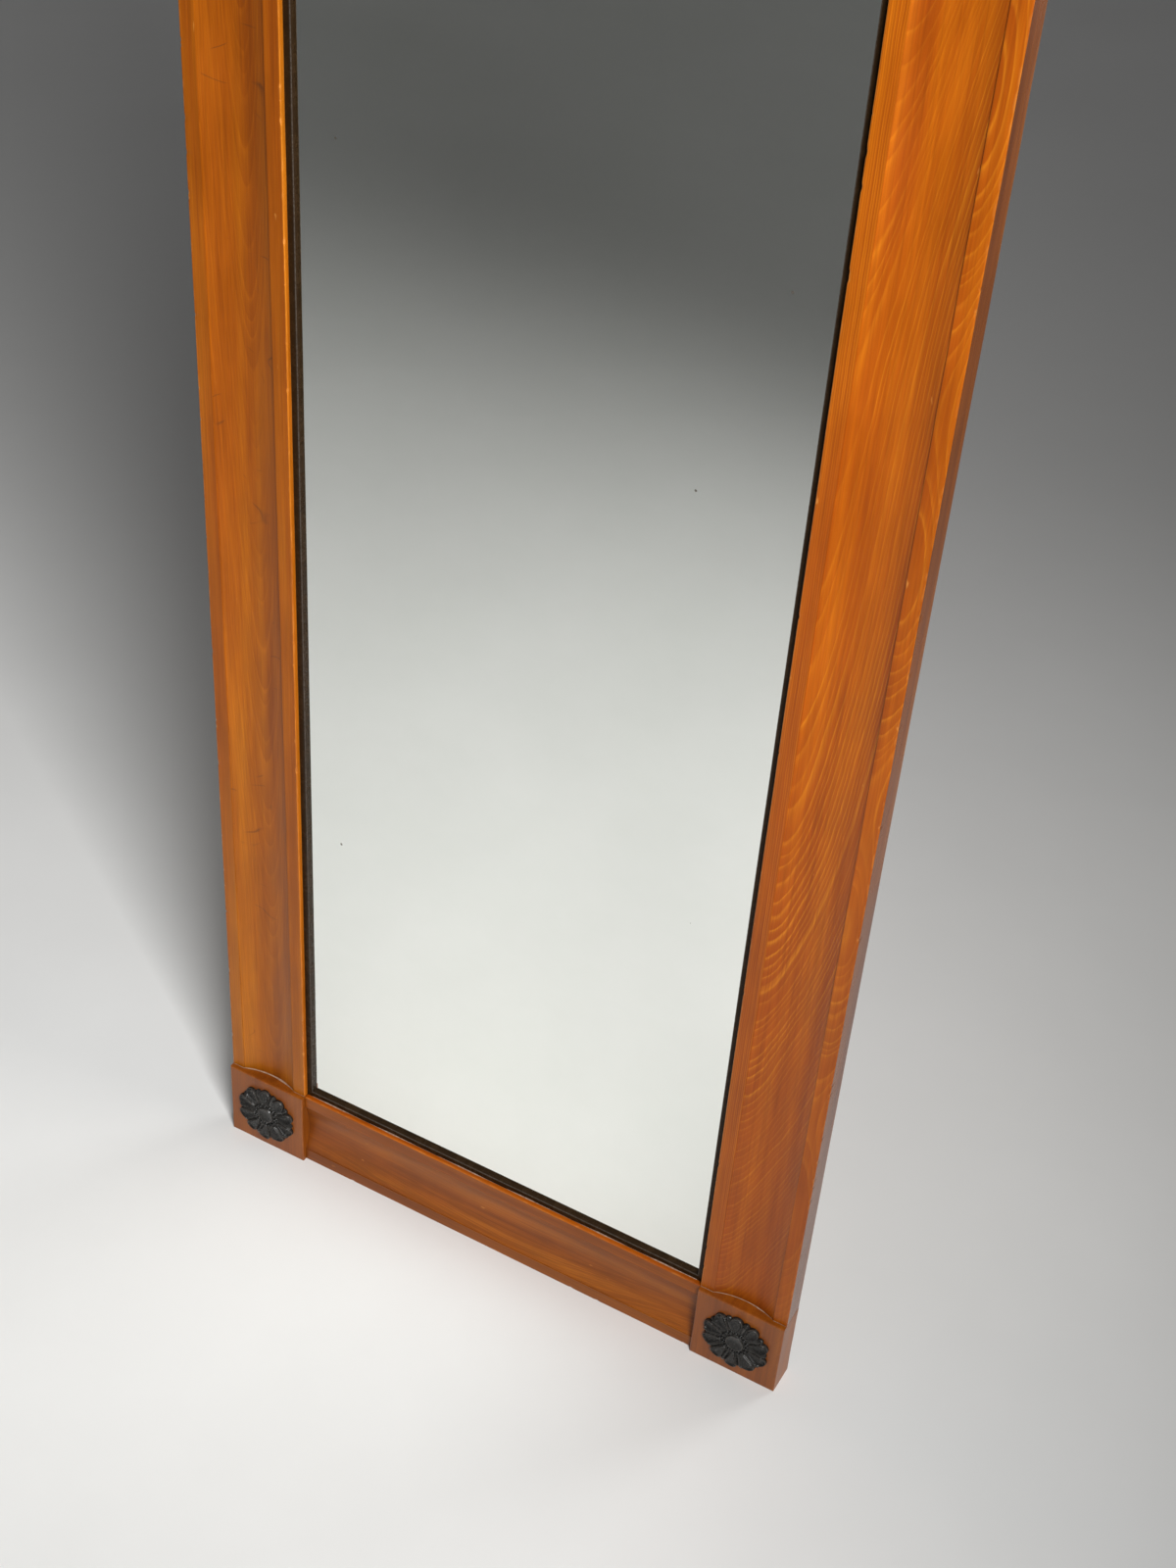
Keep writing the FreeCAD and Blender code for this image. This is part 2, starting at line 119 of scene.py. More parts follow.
# Planes of the frame
stile_low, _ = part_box("left_stile")
block_low, block_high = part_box("corner_block_bottom_left")
slip_low, slip_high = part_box("slip_left")
board_low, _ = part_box("backboard_left")
HALF_WIDTH = cad_high.x
HEIGHT = cad_high.z
BLOCK = block_high.z - block_low.z
FRONT = block_low.y
BACK = block_high.y
FACE = stile_low.y
SLIP_FRONT = slip_low.y
GLASS_FRONT = slip_high.y
BOARD_FRONT = board_low.y
SIGHT_HALF = HALF_WIDTH - BLOCK


def unit(vector):
    """The vector at length one."""
    return vector / np.linalg.norm(vector)


def skin(name, loops, zones=None, materials=(), traits=None, sharp=32.0, caps=(0, 0)):
    """Closed mesh through a stack of loops with equally many points.

    zones gives the material index of each strip along the stack, and caps those of the two ends.
    traits holds values per point for the materials.
    """
    loops = np.asarray(loops, float)
    rows, count = loops.shape[:2]
    row = np.arange(rows - 1)[:, None] * count
    here = np.arange(count)[None, :]
    after = (here + 1) % count
    quads = np.stack([row + here, row + after, row + after + count, row + here + count], axis=-1)
    last = (rows - 1) * count
    faces = quads.reshape(-1, 4).tolist() + [list(range(count))[::-1], list(range(last, last + count))]
    mesh = bpy.data.meshes.new(name)
    mesh.from_pydata(loops.reshape(-1, 3).tolist(), [], faces)
    for trait, values in (traits or {}).items():
        layer = mesh.attributes.new(trait, "FLOAT", "POINT")
        layer.data.foreach_set("value", np.asarray(values, np.float32).ravel())
    for material in materials:
        mesh.materials.append(material)
    if zones is not None:
        indices = np.concatenate([np.tile(zones, rows - 1), caps])
        mesh.polygons.foreach_set("material_index", indices.astype(np.int32))
    work = bmesh.new()
    work.from_mesh(mesh)
    bmesh.ops.remove_doubles(work, verts=work.verts, dist=WELD)
    bmesh.ops.dissolve_degenerate(work, edges=work.edges, dist=WELD)
    bmesh.ops.recalc_face_normals(work, faces=work.faces)
    work.to_mesh(mesh)
    work.free()
    mesh.shade_smooth()
    mesh.set_sharp_from_angle(angle=math.radians(sharp))
    piece = bpy.data.objects.new(name, mesh)
    bpy.context.scene.collection.objects.link(piece)
    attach(piece, "frame")
    return piece


def uneven(points, size, amount, seed):
    """Slow random shift for each point, the same on every run."""
    shifted = np.asarray(points, float).reshape(-1, 3) / size + seed
    moves = [noise.noise_vector(Vector(p)) for p in shifted]
    return np.array(moves).reshape(np.shape(points)) * amount


def rounded_outline(corners):
    """Points round a closed section whose corners are eased.

    Each corner is (u, y, radius, zone of the run that starts there). A radius of 0 keeps the point as it is.
    Gives the points, the zone of each strip, whether a point lies on an arris (+1), in an inner corner (-1)
    or on neither (0), and the number of its corner (-1 for none).
    """
    places = [np.array(c[:2]) for c in corners]
    total = len(corners)
    centre_turn = 0.0
    turns = []
    for i in range(total):
        before = places[i] - places[i - 1]
        after = places[(i + 1) % total] - places[i]
        turns.append(before[0] * after[1] - before[1] * after[0])
        centre_turn += turns[-1]
    points, zones, edges, numbers = [], [], [], []

    def put(place, zone, edge, number):
        """Add one point of the outline."""
        points.append(place)
        zones.append(zone)
        edges.append(edge)
        numbers.append(number)

    for i, (*_, radius, zone) in enumerate(corners):
        here = places[i]
        onward = places[(i + 1) % total] - here
        after = unit(onward)
        before = unit(here - places[i - 1])
        next_radius = corners[(i + 1) % total][2]
        kind = math.copysign(1.0, turns[i] * centre_turn) if radius else 0.0
        if radius:
            for turn in EASE_TURNS:
                bulge = here - before * radius * (1 - math.sin(turn)) + after * radius * (1 - math.cos(turn))
                put(bulge, zone, kind, i)
        else:
            put(here, zone, 0.0, -1)
        length = np.linalg.norm(onward)
        start = radius + LIP if radius else 0.0
        end = length - (next_radius + LIP if next_radius else 0.0)
        if end > start:
            inner = max(1, round((end - start) / RUN_STEP))
            for step in range(inner + 1):
                place = start + (end - start) * step / inner
                if 0 < place < length:
                    put(here + after * place, zone, 0.0, -1)
    return np.array(points), np.array(zones), np.array(edges), np.array(numbers)


ZONES = ("outer side", "outer band", "cove", "inner band", "sight edge", "back")


def moulding_corners():
    """Corners of the stiles' and rails' section, from the outer side at the back round to the back again."""
    side, outer, cove, inner, sight, back = range(len(ZONES))
    edge = FACE + COVE_STEP
    chord = (BLOCK - 2 * BAND_WIDTH) / 2
    radius = (chord ** 2 + COVE_SAG ** 2) / (2 * COVE_SAG)
    spread = math.asin(chord / radius)
    corners = [(0, BACK, BACK_ARRIS, side), (0, FACE, ARRIS, outer), (BAND_WIDTH, FACE, STEP_ARRIS, cove)]
    for i in range(COVE_POINTS + 1):
        turn = spread * (2 * i / COVE_POINTS - 1)
        depth = edge + COVE_SAG - radius * (1 - math.cos(turn))
        corners.append((BLOCK / 2 + radius * math.sin(turn), depth, 0, cove))
    corners += [(BLOCK - BAND_WIDTH, FACE, STEP_ARRIS, inner), (BLOCK, FACE, ARRIS, sight)]
    glass_side, board_side = BLOCK - GLASS_REBATE, BLOCK - BOARD_REBATE
    corners += [(BLOCK, SLIP_FRONT, REBATE_ARRIS, back), (glass_side, SLIP_FRONT, REBATE_ARRIS, back)]
    corners += [(glass_side, BOARD_FRONT, REBATE_ARRIS, back), (board_side, BOARD_FRONT, REBATE_ARRIS, back)]
    corners += [(board_side, BACK, REBATE_BACK_ARRIS, back)]
    return corners


def stations(start, end, nicks):
    """Places along a bar: evenly spaced, and closer round each nick."""
    even = np.linspace(start, end, int((end - start) / STATION_STEP) + 2)
    close = [t + size * share for _, t, size, _ in nicks for share in NICK_SHARES]
    close = [t for t in close if start + END_CLEAR < t < end - END_CLEAR]
    close += [start + 2 * SEAM, start + END_CLEAR, end - END_CLEAR, end - 2 * SEAM]
    places = np.sort(np.concatenate([even, close]))
    kept = [places[0]]
    for t in places[1:]:
        if t - kept[-1] > LEAST_STEP:
            kept.append(t)
    return np.array(kept)


def bar(name, start, end, place, seed, materials, nick_count):
    """Stile or rail: the moulding's section along a line, with an uneven surface and nicked arrises."""
    rng = np.random.default_rng(seed)
    points, zones, edges, numbers = rounded_outline(moulding_corners())
    across = points[:, 0]
    steps = np.isclose(across, BAND_WIDTH, atol=MM) | np.isclose(across, BLOCK - BAND_WIDTH, atol=MM)
    steps &= edges > 0
    arrises = sorted(set(numbers[(edges > 0) & ~steps & (points[:, 1] < FACE + 2 * ARRIS)]))
    nicks = []
    for _ in range(nick_count):
        size = rng.uniform(*NICK_SIZES) * MM
        depth = min(size * rng.uniform(*NICK_SLOPES), NICK_DEEPEST)
        nicks.append((int(rng.choice(arrises)), rng.uniform(start, end), size, depth))
    places = stations(start, end, nicks)
    loops = np.zeros((len(places), len(points), 3))
    worn = np.tile(np.where(steps, 0.0, np.maximum(edges, 0)), (len(places), 1)) * ARRIS_WEAR
    # Dirt and painted shade: darker on the steps and in the inner corners of the section
    dirt_and_shade = np.tile(np.where(steps, STEP_SHADE_AND_DIRT, np.maximum(-edges, 0)), (len(places), 1))
    section = np.repeat(points[None], len(places), axis=0)
    middle = np.array([BLOCK / 2, (FACE + BACK) / 2])
    for number, t, size, depth in nicks:
        on_edge = np.where(numbers == number)[0]
        inward = unit(middle - points[on_edge].mean(axis=0))
        bite = np.clip(1 - ((places - t) / size) ** 2, 0, 1) ** 2
        section[:, on_edge] += (bite[:, None] * depth)[..., None] * inward
        worn[:, on_edge] = np.maximum(worn[:, on_edge], NICK_WEAR * bite[:, None])
    ends = np.minimum(places - start, end - places)
    in_cove = zones == ZONES.index("cove")
    # Dirt and painted shade near the ends of the bar, where it meets a block, stronger in the cove
    dirt_and_shade += np.exp(-ends / SHADE_AND_DIRT_REACH)[:, None] * np.where(in_cove, COVE_END_SHADE_AND_DIRT, END_SHADE_AND_DIRT)
    for i in (0, -1):
        section[i, :, 0] = np.clip(section[i, :, 0], SEAM, BLOCK - SEAM)
        section[i, :, 1] = np.clip(section[i, :, 1], FACE + SEAM, BACK - SEAM)
        dirt_and_shade[i] = SEAM_GRIME
    for i, t in enumerate(places):
        loops[i] = [place(u, y, t) for u, y in section[i]]
    loops += uneven(loops, *BAR_UNEVEN, seed * 3.7)
    loops[..., 2] = np.clip(loops[..., 2], 0, HEIGHT)
    return skin(name, loops, zones, materials, {"worn": worn, "dirt_and_shade": dirt_and_shade})


# Materials


class Shader:
    """Builds the nodes of one material."""

    def __init__(self, name):
        self.material = bpy.data.materials.new(name)
        self.material.use_nodes = True
        self.tree = self.material.node_tree
        self.surface = self.tree.nodes["Principled BSDF"]

    def feed(self, socket, value):
        """Link a socket into another, or set a constant."""
        if isinstance(value, bpy.types.NodeSocket):
            self.tree.links.new(value, socket)
        else:
            socket.default_value = value

    def node(self, kind, inputs=None, **settings):
        """New node with its settings and inputs."""
        made = self.tree.nodes.new(kind)
        for key, value in settings.items():
            setattr(made, key, value)
        for key, value in (inputs or {}).items():
            self.feed(made.inputs[key], value)
        return made

    def math(self, operation, a, b=0.0, c=0.0, clamp=False):
        """One step of arithmetic."""
        made = self.node("ShaderNodeMath", {0: a, 1: b, 2: c}, operation=operation, use_clamp=clamp)
        return made.outputs[0]

    def vector(self, operation, a, b):
        """One step of arithmetic on vectors."""
        made = self.node("ShaderNodeVectorMath", {0: a, 1: b}, operation=operation)
        return made.outputs["Value" if operation == "LENGTH" else "Vector"]

    def place(self):
        """Position in the frame of the part."""
        return self.node("ShaderNodeTexCoord").outputs["Object"]

    def noise(self, where, scale, detail=2.0, roughness=0.5, distortion=0.0, colour=False):
        """Cloudy noise; scale is cells per metre along each axis."""
        stretched = self.vector("MULTIPLY", where, scale)
        made = self.node("ShaderNodeTexNoise", {"Vector": stretched, "Scale": 1.0, "Detail": detail,
                                                "Roughness": roughness, "Distortion": distortion})
        return made.outputs["Color" if colour else "Fac"]

    def ramp(self, factor, stops, interpolation="LINEAR"):
        """Colour or grey along a scale; each stop is (place, colour)."""
        made = self.node("ShaderNodeValToRGB", {"Fac": factor})
        band = made.color_ramp
        band.interpolation = interpolation
        while len(band.elements) < len(stops):
            band.elements.new(1.0)
        for element, (place, colour) in zip(band.elements, stops):
            element.position = place
            grey = isinstance(colour, (int, float))
            element.color = (colour, colour, colour, 1) if grey else (*colour, 1)
        return made.outputs["Color"]

    def mix(self, factor, a, b, blend="MIX"):
        """Blend of two colours."""
        made = self.node("ShaderNodeMix", data_type="RGBA", blend_type=blend)
        for socket, value in zip((made.inputs[0], made.inputs[6], made.inputs[7]), (factor, a, b)):
            self.feed(socket, (*value, 1) if isinstance(value, tuple) else value)
        return made.outputs[2]

    def trait(self, name):
        """Value stored on the mesh."""
        return self.node("ShaderNodeAttribute", attribute_name=name).outputs["Fac"]

    def bump(self, height, distance, strength=1.0):
        """Fine relief of the surface."""
        made = self.node("ShaderNodeBump", {"Height": height, "Distance": distance, "Strength": strength})
        self.feed(self.surface.inputs["Normal"], made.outputs["Normal"])

    def finish(self, colour, roughness, **constants):
        """Connect the surface and give back the material."""
        self.feed(self.surface.inputs["Base Color"], colour)
        self.feed(self.surface.inputs["Roughness"], roughness)
        for key, value in constants.items():
            self.surface.inputs[key.replace("_", " ")].default_value = value
        return self.material


def grain_frame(shader, axis, side=False):
    """Position as (across, depth, along the grain), for a front face or for a side face."""
    parts = shader.node("ShaderNodeSeparateXYZ", {0: shader.place()})
    across, along = ("X", "Z") if axis == "Z" else ("Z", "X")
    depth = "Y"
    if side:
        across, depth = depth, across
    made = shader.node("ShaderNodeCombineXYZ", {0: parts.outputs[across], 1: parts.outputs[depth],
                                                2: parts.outputs[along]})
    return made.outputs[0]


def ring_lines(shader, grain, heart, ring, tilt=0.0, taper=0.0, sway=(0.0, 1.0, 0.0), warp=8 * MM, even=0.25):
    """Growth rings cut by the surface: pale lines, each ring of its own strength, and the darker late wood.

    heart is the pith's place across the face and its depth below it where the grain starts.
    The pith comes nearer by tilt along the grain and sways in a slow wave of (depth, length, phase).
    With a taper the rings narrow along the grain instead, and the wave is added to that.
    even is the strength of the faintest ring, and 1 makes all rings alike.
    """
    slow = shader.noise(grain, (9, 9, 2.6), detail=2, colour=True)
    slow = shader.vector("SUBTRACT", slow, (0.5, 0.5, 0.5))
    slow = shader.vector("MULTIPLY", slow, (warp, 0, 5 * warp))
    quick = shader.noise(grain, (70, 70, 24), detail=3, colour=True)
    quick = shader.vector("SUBTRACT", quick, (0.5, 0.5, 0.5))
    quick = shader.vector("MULTIPLY", quick, (2 * MM, 0, 9 * MM))
    moved = shader.vector("ADD", shader.vector("ADD", grain, slow), quick)
    parts = shader.node("ShaderNodeSeparateXYZ", {0: moved})
    depth, length, phase = sway
    wave = shader.math("MULTIPLY_ADD", parts.outputs[2], 2 * math.pi / length, phase)
    wave = shader.math("MULTIPLY", shader.math("SINE", wave), depth)
    wave = shader.math("MULTIPLY_ADD", parts.outputs[2], -(taper or tilt), wave)
    across = shader.math("SUBTRACT", parts.outputs[0], heart[0])
    deep = heart[1] if taper else shader.math("ADD", wave, heart[1])
    centre = shader.node("ShaderNodeCombineXYZ", {0: across, 1: deep}).outputs[0]
    radius = shader.vector("LENGTH", centre, (0, 0, 0))
    count = shader.math("DIVIDE", shader.math("ADD", radius, wave) if taper else radius, ring)
    spacing = shader.node("ShaderNodeTexNoise", {"W": count, "Scale": 0.31, "Detail": 2.0},
                          noise_dimensions="1D")
    count = shader.math("MULTIPLY_ADD", spacing.outputs["Fac"], 3.4 * (1 - even), count)
    part = shader.math("FRACT", count)
    line = shader.ramp(part, [(0, 0.75), (0.07, 1.0), (0.2, 0.32), (0.4, 0.05), (0.9, 0.0), (1.0, 0.7)])
    own = shader.node("ShaderNodeTexWhiteNoise", {"W": shader.math("FLOOR", count)}, noise_dimensions="1D")
    own = shader.math("MULTIPLY_ADD", own.outputs["Value"], 1 - even, even)
    late = shader.ramp(part, [(0, 0.0), (0.5, 0.3), (0.92, 1.0), (1, 0.0)])
    return shader.math("MULTIPLY", line, own), shader.math("MULTIPLY", late, own)


def wood(name, axis, heart, ring, tones, line_colour, lines=0.6, dark=0.4, checks=0.0, polish=0.34, chatoyant_sheen=0.0,
         side=False, ends=(0.87, 1.0), ior=1.34, **rings):
    """Polished figured hardwood with growth rings, streaks, fibres, worn arrises, and dirt with painted shade
    in the corners and towards the ends of the bars.

    ends gives a painted shade or tint by height, near the floor and from half height up.
    """
    shader = Shader(name)
    grain = grain_frame(shader, axis, side)
    line, late = ring_lines(shader, grain, heart, ring, **rings)
    streak = shader.noise(grain, (60, 60, 2.6), detail=5, roughness=0.62)
    colour = shader.ramp(streak, list(zip((0.3, 0.45, 0.57, 0.72), tones)))
    patches = shader.noise(grain, (14, 14, 5), detail=3)
    fibre = shader.noise(grain, (640, 640, 13), detail=3, roughness=0.65)
    colour = shader.mix(shader.math("MULTIPLY", late, dark), colour, tones[0])
    broken = shader.math("MULTIPLY", shader.ramp(patches, [(0.36, 0.3), (0.6, 1.0)]),
                         shader.ramp(fibre, [(0.3, 0.5), (0.62, 1.0)]))
    height = shader.node("ShaderNodeSeparateXYZ", {0: shader.place()}).outputs["Z"]
    faint = shader.ramp(height, [(0.08, 0.5 * lines), (0.45, lines)])
    strength = shader.math("MULTIPLY", broken, faint)
    colour = shader.mix(shader.math("MULTIPLY", line, strength), colour, line_colour)
    # Random patches of tone, spread wider where the material is given a painted chatoyant sheen of lighter
    # and darker patches
    mottle = shader.noise(grain, (30, 30, 13), detail=4, roughness=0.6)
    tone_and_sheen = shader.math("MULTIPLY", shader.ramp(mottle, [(0.25, 0.8 - chatoyant_sheen), (0.75, 1.0 + chatoyant_sheen)]),
                        shader.ramp(fibre, [(0.3, 0.78), (0.7, 1.0)]))
    grey = shader.node("ShaderNodeCombineColor", {0: tone_and_sheen, 1: tone_and_sheen, 2: tone_and_sheen}).outputs[0]
    colour = shader.mix(1.0, colour, grey, "MULTIPLY")
    # Painted light and shade by height, from ends
    colour = shader.mix(1.0, colour, shader.ramp(height, [(0.05, ends[0]), (0.75, ends[1])]), "MULTIPLY")
    if checks:
        cracks = shader.noise(grain, (16, 16, 30), detail=1)
        thin = shader.math("ABSOLUTE", shader.math("SUBTRACT", cracks, 0.5))
        thin = shader.ramp(thin, [(0.0, 1.0), (0.012, 0.0)])
        where = shader.ramp(shader.noise(grain, (40, 40, 24), detail=1), [(0.58, 0.0), (0.66, 1.0)])
        crack = shader.math("MULTIPLY", shader.math("MULTIPLY", thin, where), checks)
        colour = shader.mix(crack, colour, CRACK)
    scuffs = shader.ramp(shader.noise(grain, (150, 150, 46), detail=2), [(0.755, 0.0), (0.81, 0.5)])
    colour = shader.mix(scuffs, colour, SCUFF)
    chips = shader.ramp(shader.noise(grain, (260, 260, 90), detail=2), [(0.5, 0.08), (0.68, 1.0)])
    worn = shader.math("MULTIPLY", shader.trait("worn"), chips, clamp=True)
    colour = shader.mix(shader.math("MULTIPLY", worn, 0.55), colour, BARE_WOOD)
    # Dirt and painted shade: darker in the corners, on the steps and towards the ends
    dirt_and_shade = shader.math("MULTIPLY", shader.trait("dirt_and_shade"), 0.6, clamp=True)
    colour = shader.mix(dirt_and_shade, colour, SHADE_AND_DIRT)
    roughness = shader.ramp(mottle, [(0.2, polish - 0.05), (0.8, polish + 0.09)])
    relief = shader.math("ADD", shader.math("MULTIPLY", line, 0.5), fibre)
    shader.bump(relief, 0.03 * MM, 0.5)
    return shader.finish(colour, roughness, IOR=ior)


def raw_wood(name, axis, light, dark, heart=(0.03, 0.4), ring=1.6 * MM, rings=0.45, sway=(0.02, 1.3, 0.4),
             warp=24 * MM):
    """Unpolished wood of the back, dusty and darkened with age; rings is the strength of the late wood."""
    shader = Shader(name)
    grain = grain_frame(shader, axis)
    _, late = ring_lines(shader, grain, heart, ring, tilt=0.02, sway=sway, warp=warp, even=0.45)
    streak = shader.noise(grain, (70, 70, 3), detail=4, roughness=0.65)
    fibre = shader.noise(grain, (700, 700, 12), detail=3, roughness=0.7)
    colour = shader.ramp(streak, [(0.3, dark), (0.7, light)])
    colour = shader.mix(shader.math("MULTIPLY", late, rings), colour, dark)
    colour = shader.mix(shader.ramp(fibre, [(0.35, 0.5), (0.6, 0.0)]), colour, dark)
    dust = shader.ramp(shader.noise(grain, (44, 44, 9), detail=6, roughness=0.75), [(0.53, 0.0), (0.8, 0.26)])
    colour = shader.mix(dust, colour, BACK_DUST)
    shader.bump(fibre, 0.15 * MM, 0.7)
    return shader.finish(colour, shader.ramp(streak, [(0.3, 0.7), (0.7, 0.85)]))


def ebonised(name, gloss, dark, light, rubbed):
    """Black stained and polished wood, rubbed grey-brown on its edges, with dust in its hollows."""
    shader = Shader(name)
    where = shader.place()
    cloud = shader.noise(where, (90, 90, 90), detail=4, roughness=0.65)
    fine = shader.noise(where, (900, 900, 900), detail=2)
    colour = shader.ramp(cloud, [(0.3, dark), (0.75, light)])
    patchy = shader.ramp(fine, [(0.35, 0.3), (0.62, 1.0)])
    rub = shader.math("MULTIPLY", shader.trait("worn"), patchy, clamp=True)
    colour = shader.mix(shader.math("MULTIPLY", rub, rubbed), colour, RUBBED_GREY)
    specks = shader.ramp(shader.noise(where, (420, 420, 420), detail=2), [(0.45, 0.1), (0.7, 1.0)])
    dust = shader.math("MULTIPLY", shader.trait("dirt_and_shade"), specks, clamp=True)
    colour = shader.mix(shader.math("MULTIPLY", dust, 0.22), colour, PALE_DUST)
    roughness = shader.ramp(cloud, [(0.25, 0.2), (0.8, 0.34)])
    shader.bump(fine, 0.012 * MM, 0.5)
    return shader.finish(colour, roughness, IOR=1.36, Specular_IOR_Level=gloss)


def dusty(name):
    """Old wax and dust that gathers in the corners."""
    shader = Shader(name)
    where = shader.place()
    cloud = shader.noise(where, (350, 350, 350), detail=4, roughness=0.7)
    colour = shader.ramp(cloud, list(zip((0.3, 0.52, 0.75), WAX_TONES)))
    shader.bump(cloud, 0.3 * MM, 0.8)
    return shader.finish(colour, shader.ramp(cloud, [(0.3, 0.75), (0.7, 0.92)]))


def silvered(name, low, high):
    """Old mirror plate: clean silver, faint haze, and age specks that crowd towards the edges."""
    shader = Shader(name)
    where = shader.place()
    parts = shader.node("ShaderNodeSeparateXYZ", {0: where})

    def edge(axis, a, b):
        """Distance to the nearer edge along one axis."""
        middle, half = (a + b) / 2, (b - a) / 2
        inside = shader.math("ABSOLUTE", shader.math("SUBTRACT", parts.outputs[axis], middle))
        return shader.math("SUBTRACT", half, inside)

    nearest = shader.math("MINIMUM", edge("X", low.x, high.x), edge("Z", low.z, high.z))
    rim = shader.ramp(shader.math("DIVIDE", nearest, SPECK_REACH), [(0.0, 1.0), (0.3, 0.45), (1.0, 0.12)])
    cells = shader.node("ShaderNodeTexVoronoi", {"Vector": where, "Scale": 55.0})
    dots = shader.math("LESS_THAN", cells.outputs["Distance"],
                       shader.math("MULTIPLY", shader.noise(where, (40, 40, 40), detail=3), 0.13))
    own = shader.node("ShaderNodeSeparateColor", {0: cells.outputs["Color"]}).outputs[0]
    chosen = shader.math("LESS_THAN", own, shader.math("MULTIPLY", rim, 0.14))
    speck = shader.math("MULTIPLY", dots, chosen)
    haze = shader.noise(where, (6, 6, 6), detail=5, roughness=0.65)
    colour = shader.ramp(haze, [(0.3, (0.9, 0.925, 0.885)), (0.75, (0.94, 0.955, 0.925))])
    colour = shader.mix(shader.math("MULTIPLY", speck, 0.85), colour, SPECK)
    smear = shader.ramp(haze, [(0.45, 0.008), (0.8, 0.035)])
    roughness = shader.math("MULTIPLY_ADD", speck, 0.4, smear)
    return shader.finish(colour, roughness, Metallic=1.0)


def aged_steel(name, dark, light, rust):
    """Steel hardware with a dull brown-grey patina and small spots of rust."""
    shader = Shader(name)
    where = shader.place()
    cloud = shader.noise(where, (160, 160, 160), detail=5, roughness=0.65)
    spots = shader.ramp(shader.noise(where, (420, 420, 420), detail=3), [(0.55, 0.0), (0.68, 1.0)])
    colour = shader.ramp(cloud, [(0.3, dark), (0.7, light)])
    colour = shader.mix(shader.math("MULTIPLY", spots, rust), colour, RUST)
    roughness = shader.math("MULTIPLY_ADD", spots, 0.3, shader.ramp(cloud, [(0.3, 0.34), (0.7, 0.5)]))
    shader.bump(cloud, 0.1 * MM, 0.5)
    metal = shader.math("MULTIPLY_ADD", spots, -0.6, 1.0)
    shader.feed(shader.surface.inputs["Metallic"], metal)
    return shader.finish(colour, roughness)


# Tones of the wood from dark to light streaks, and its pale lines
HONEY = [(0.3, 0.072, 0.0014), (0.394, 0.105, 0.0021), (0.454, 0.133, 0.0028), (0.53, 0.173, 0.0042)]
AMBER = [(0.34, 0.06, 0.001), (0.44, 0.088, 0.001), (0.5, 0.111, 0.0015), (0.57, 0.14, 0.002)]
BROWN = [(0.22, 0.047, 0.002), (0.31, 0.073, 0.003), (0.39, 0.1, 0.004), (0.48, 0.14, 0.007)]
# Darker tones for the right side face: a painted shade on that side
PAINTED_SHADE_UMBER = [(0.15, 0.033, 0.0015), (0.21, 0.05, 0.002), (0.265, 0.069, 0.003), (0.33, 0.096, 0.005)]
RUSSET = [(0.22, 0.05, 0.003), (0.29, 0.071, 0.0035), (0.345, 0.09, 0.004), (0.41, 0.117, 0.006)]
RUBBED = [(0.3, 0.066, 0.002), (0.42, 0.1, 0.003), (0.52, 0.14, 0.004), (0.62, 0.19, 0.008)]
GOLD_LINE = (0.84, 0.29, 0.012)
DULL_LINE = (0.56, 0.17, 0.015)
SCUFF = (0.72, 0.3, 0.06)
BARE_WOOD = (0.64, 0.25, 0.05)
CRACK = (0.07, 0.022, 0.008)
SHADE_AND_DIRT = (0.05, 0.012, 0.003)

# Colours of age on the other materials, and how far from the edges of the plate its specks crowd
WAX_TONES = [(0.15, 0.075, 0.045), (0.3, 0.19, 0.13), (0.44, 0.32, 0.25)]
BACK_DUST = (0.42, 0.38, 0.33)
RUBBED_GREY = (0.19, 0.17, 0.15)
PALE_DUST = (0.3, 0.28, 0.25)
SPECK = (0.2, 0.17, 0.13)
RUST = (0.17, 0.085, 0.04)
SPECK_REACH = 0.16

# Lines across the moulding, measured from the outer side, and a pith so far off that the rings run straight
COVE_IN = BLOCK - BAND_WIDTH
OUTER_MIDDLE = BAND_WIDTH / 2
INNER_MIDDLE = BLOCK - BAND_WIDTH / 2
FAR = 0.5

# Painted light and shade of the stiles near the floor and from half height up: the left paler and yellower at
# its foot and darker above, the right darker near the floor
LEFT_PAINTED_LIGHT = ((1.0, 1.0, 1.0), (0.88, 0.74, 0.62))
RIGHT_PAINTED_SHADE = (0.78, 1.0)

BACK_LIGHT = (0.26, 0.13, 0.06)
BACK_DARK = (0.13, 0.06, 0.028)
back_upright = raw_wood("back wood upright", "Z", BACK_LIGHT, BACK_DARK)
back_level = raw_wood("back wood level", "X", BACK_LIGHT, BACK_DARK)
back_block = raw_wood("back wood blocks", "Z", (0.3, 0.15, 0.068), (0.16, 0.075, 0.034))

sight_upright = wood("sight edge upright", "Z", (-FAR, 0.0), 1.3 * MM, RUBBED, GOLD_LINE, lines=0.5, dark=0.9,
                     side=True, warp=3 * MM, ends=(1.0, 0.93))
sight_level = wood("sight edge level", "X", (-FAR, 0.0), 1.3 * MM, AMBER, GOLD_LINE, lines=0.4, dark=0.9,
                   side=True, warp=3 * MM, ends=(1.0, 0.93))

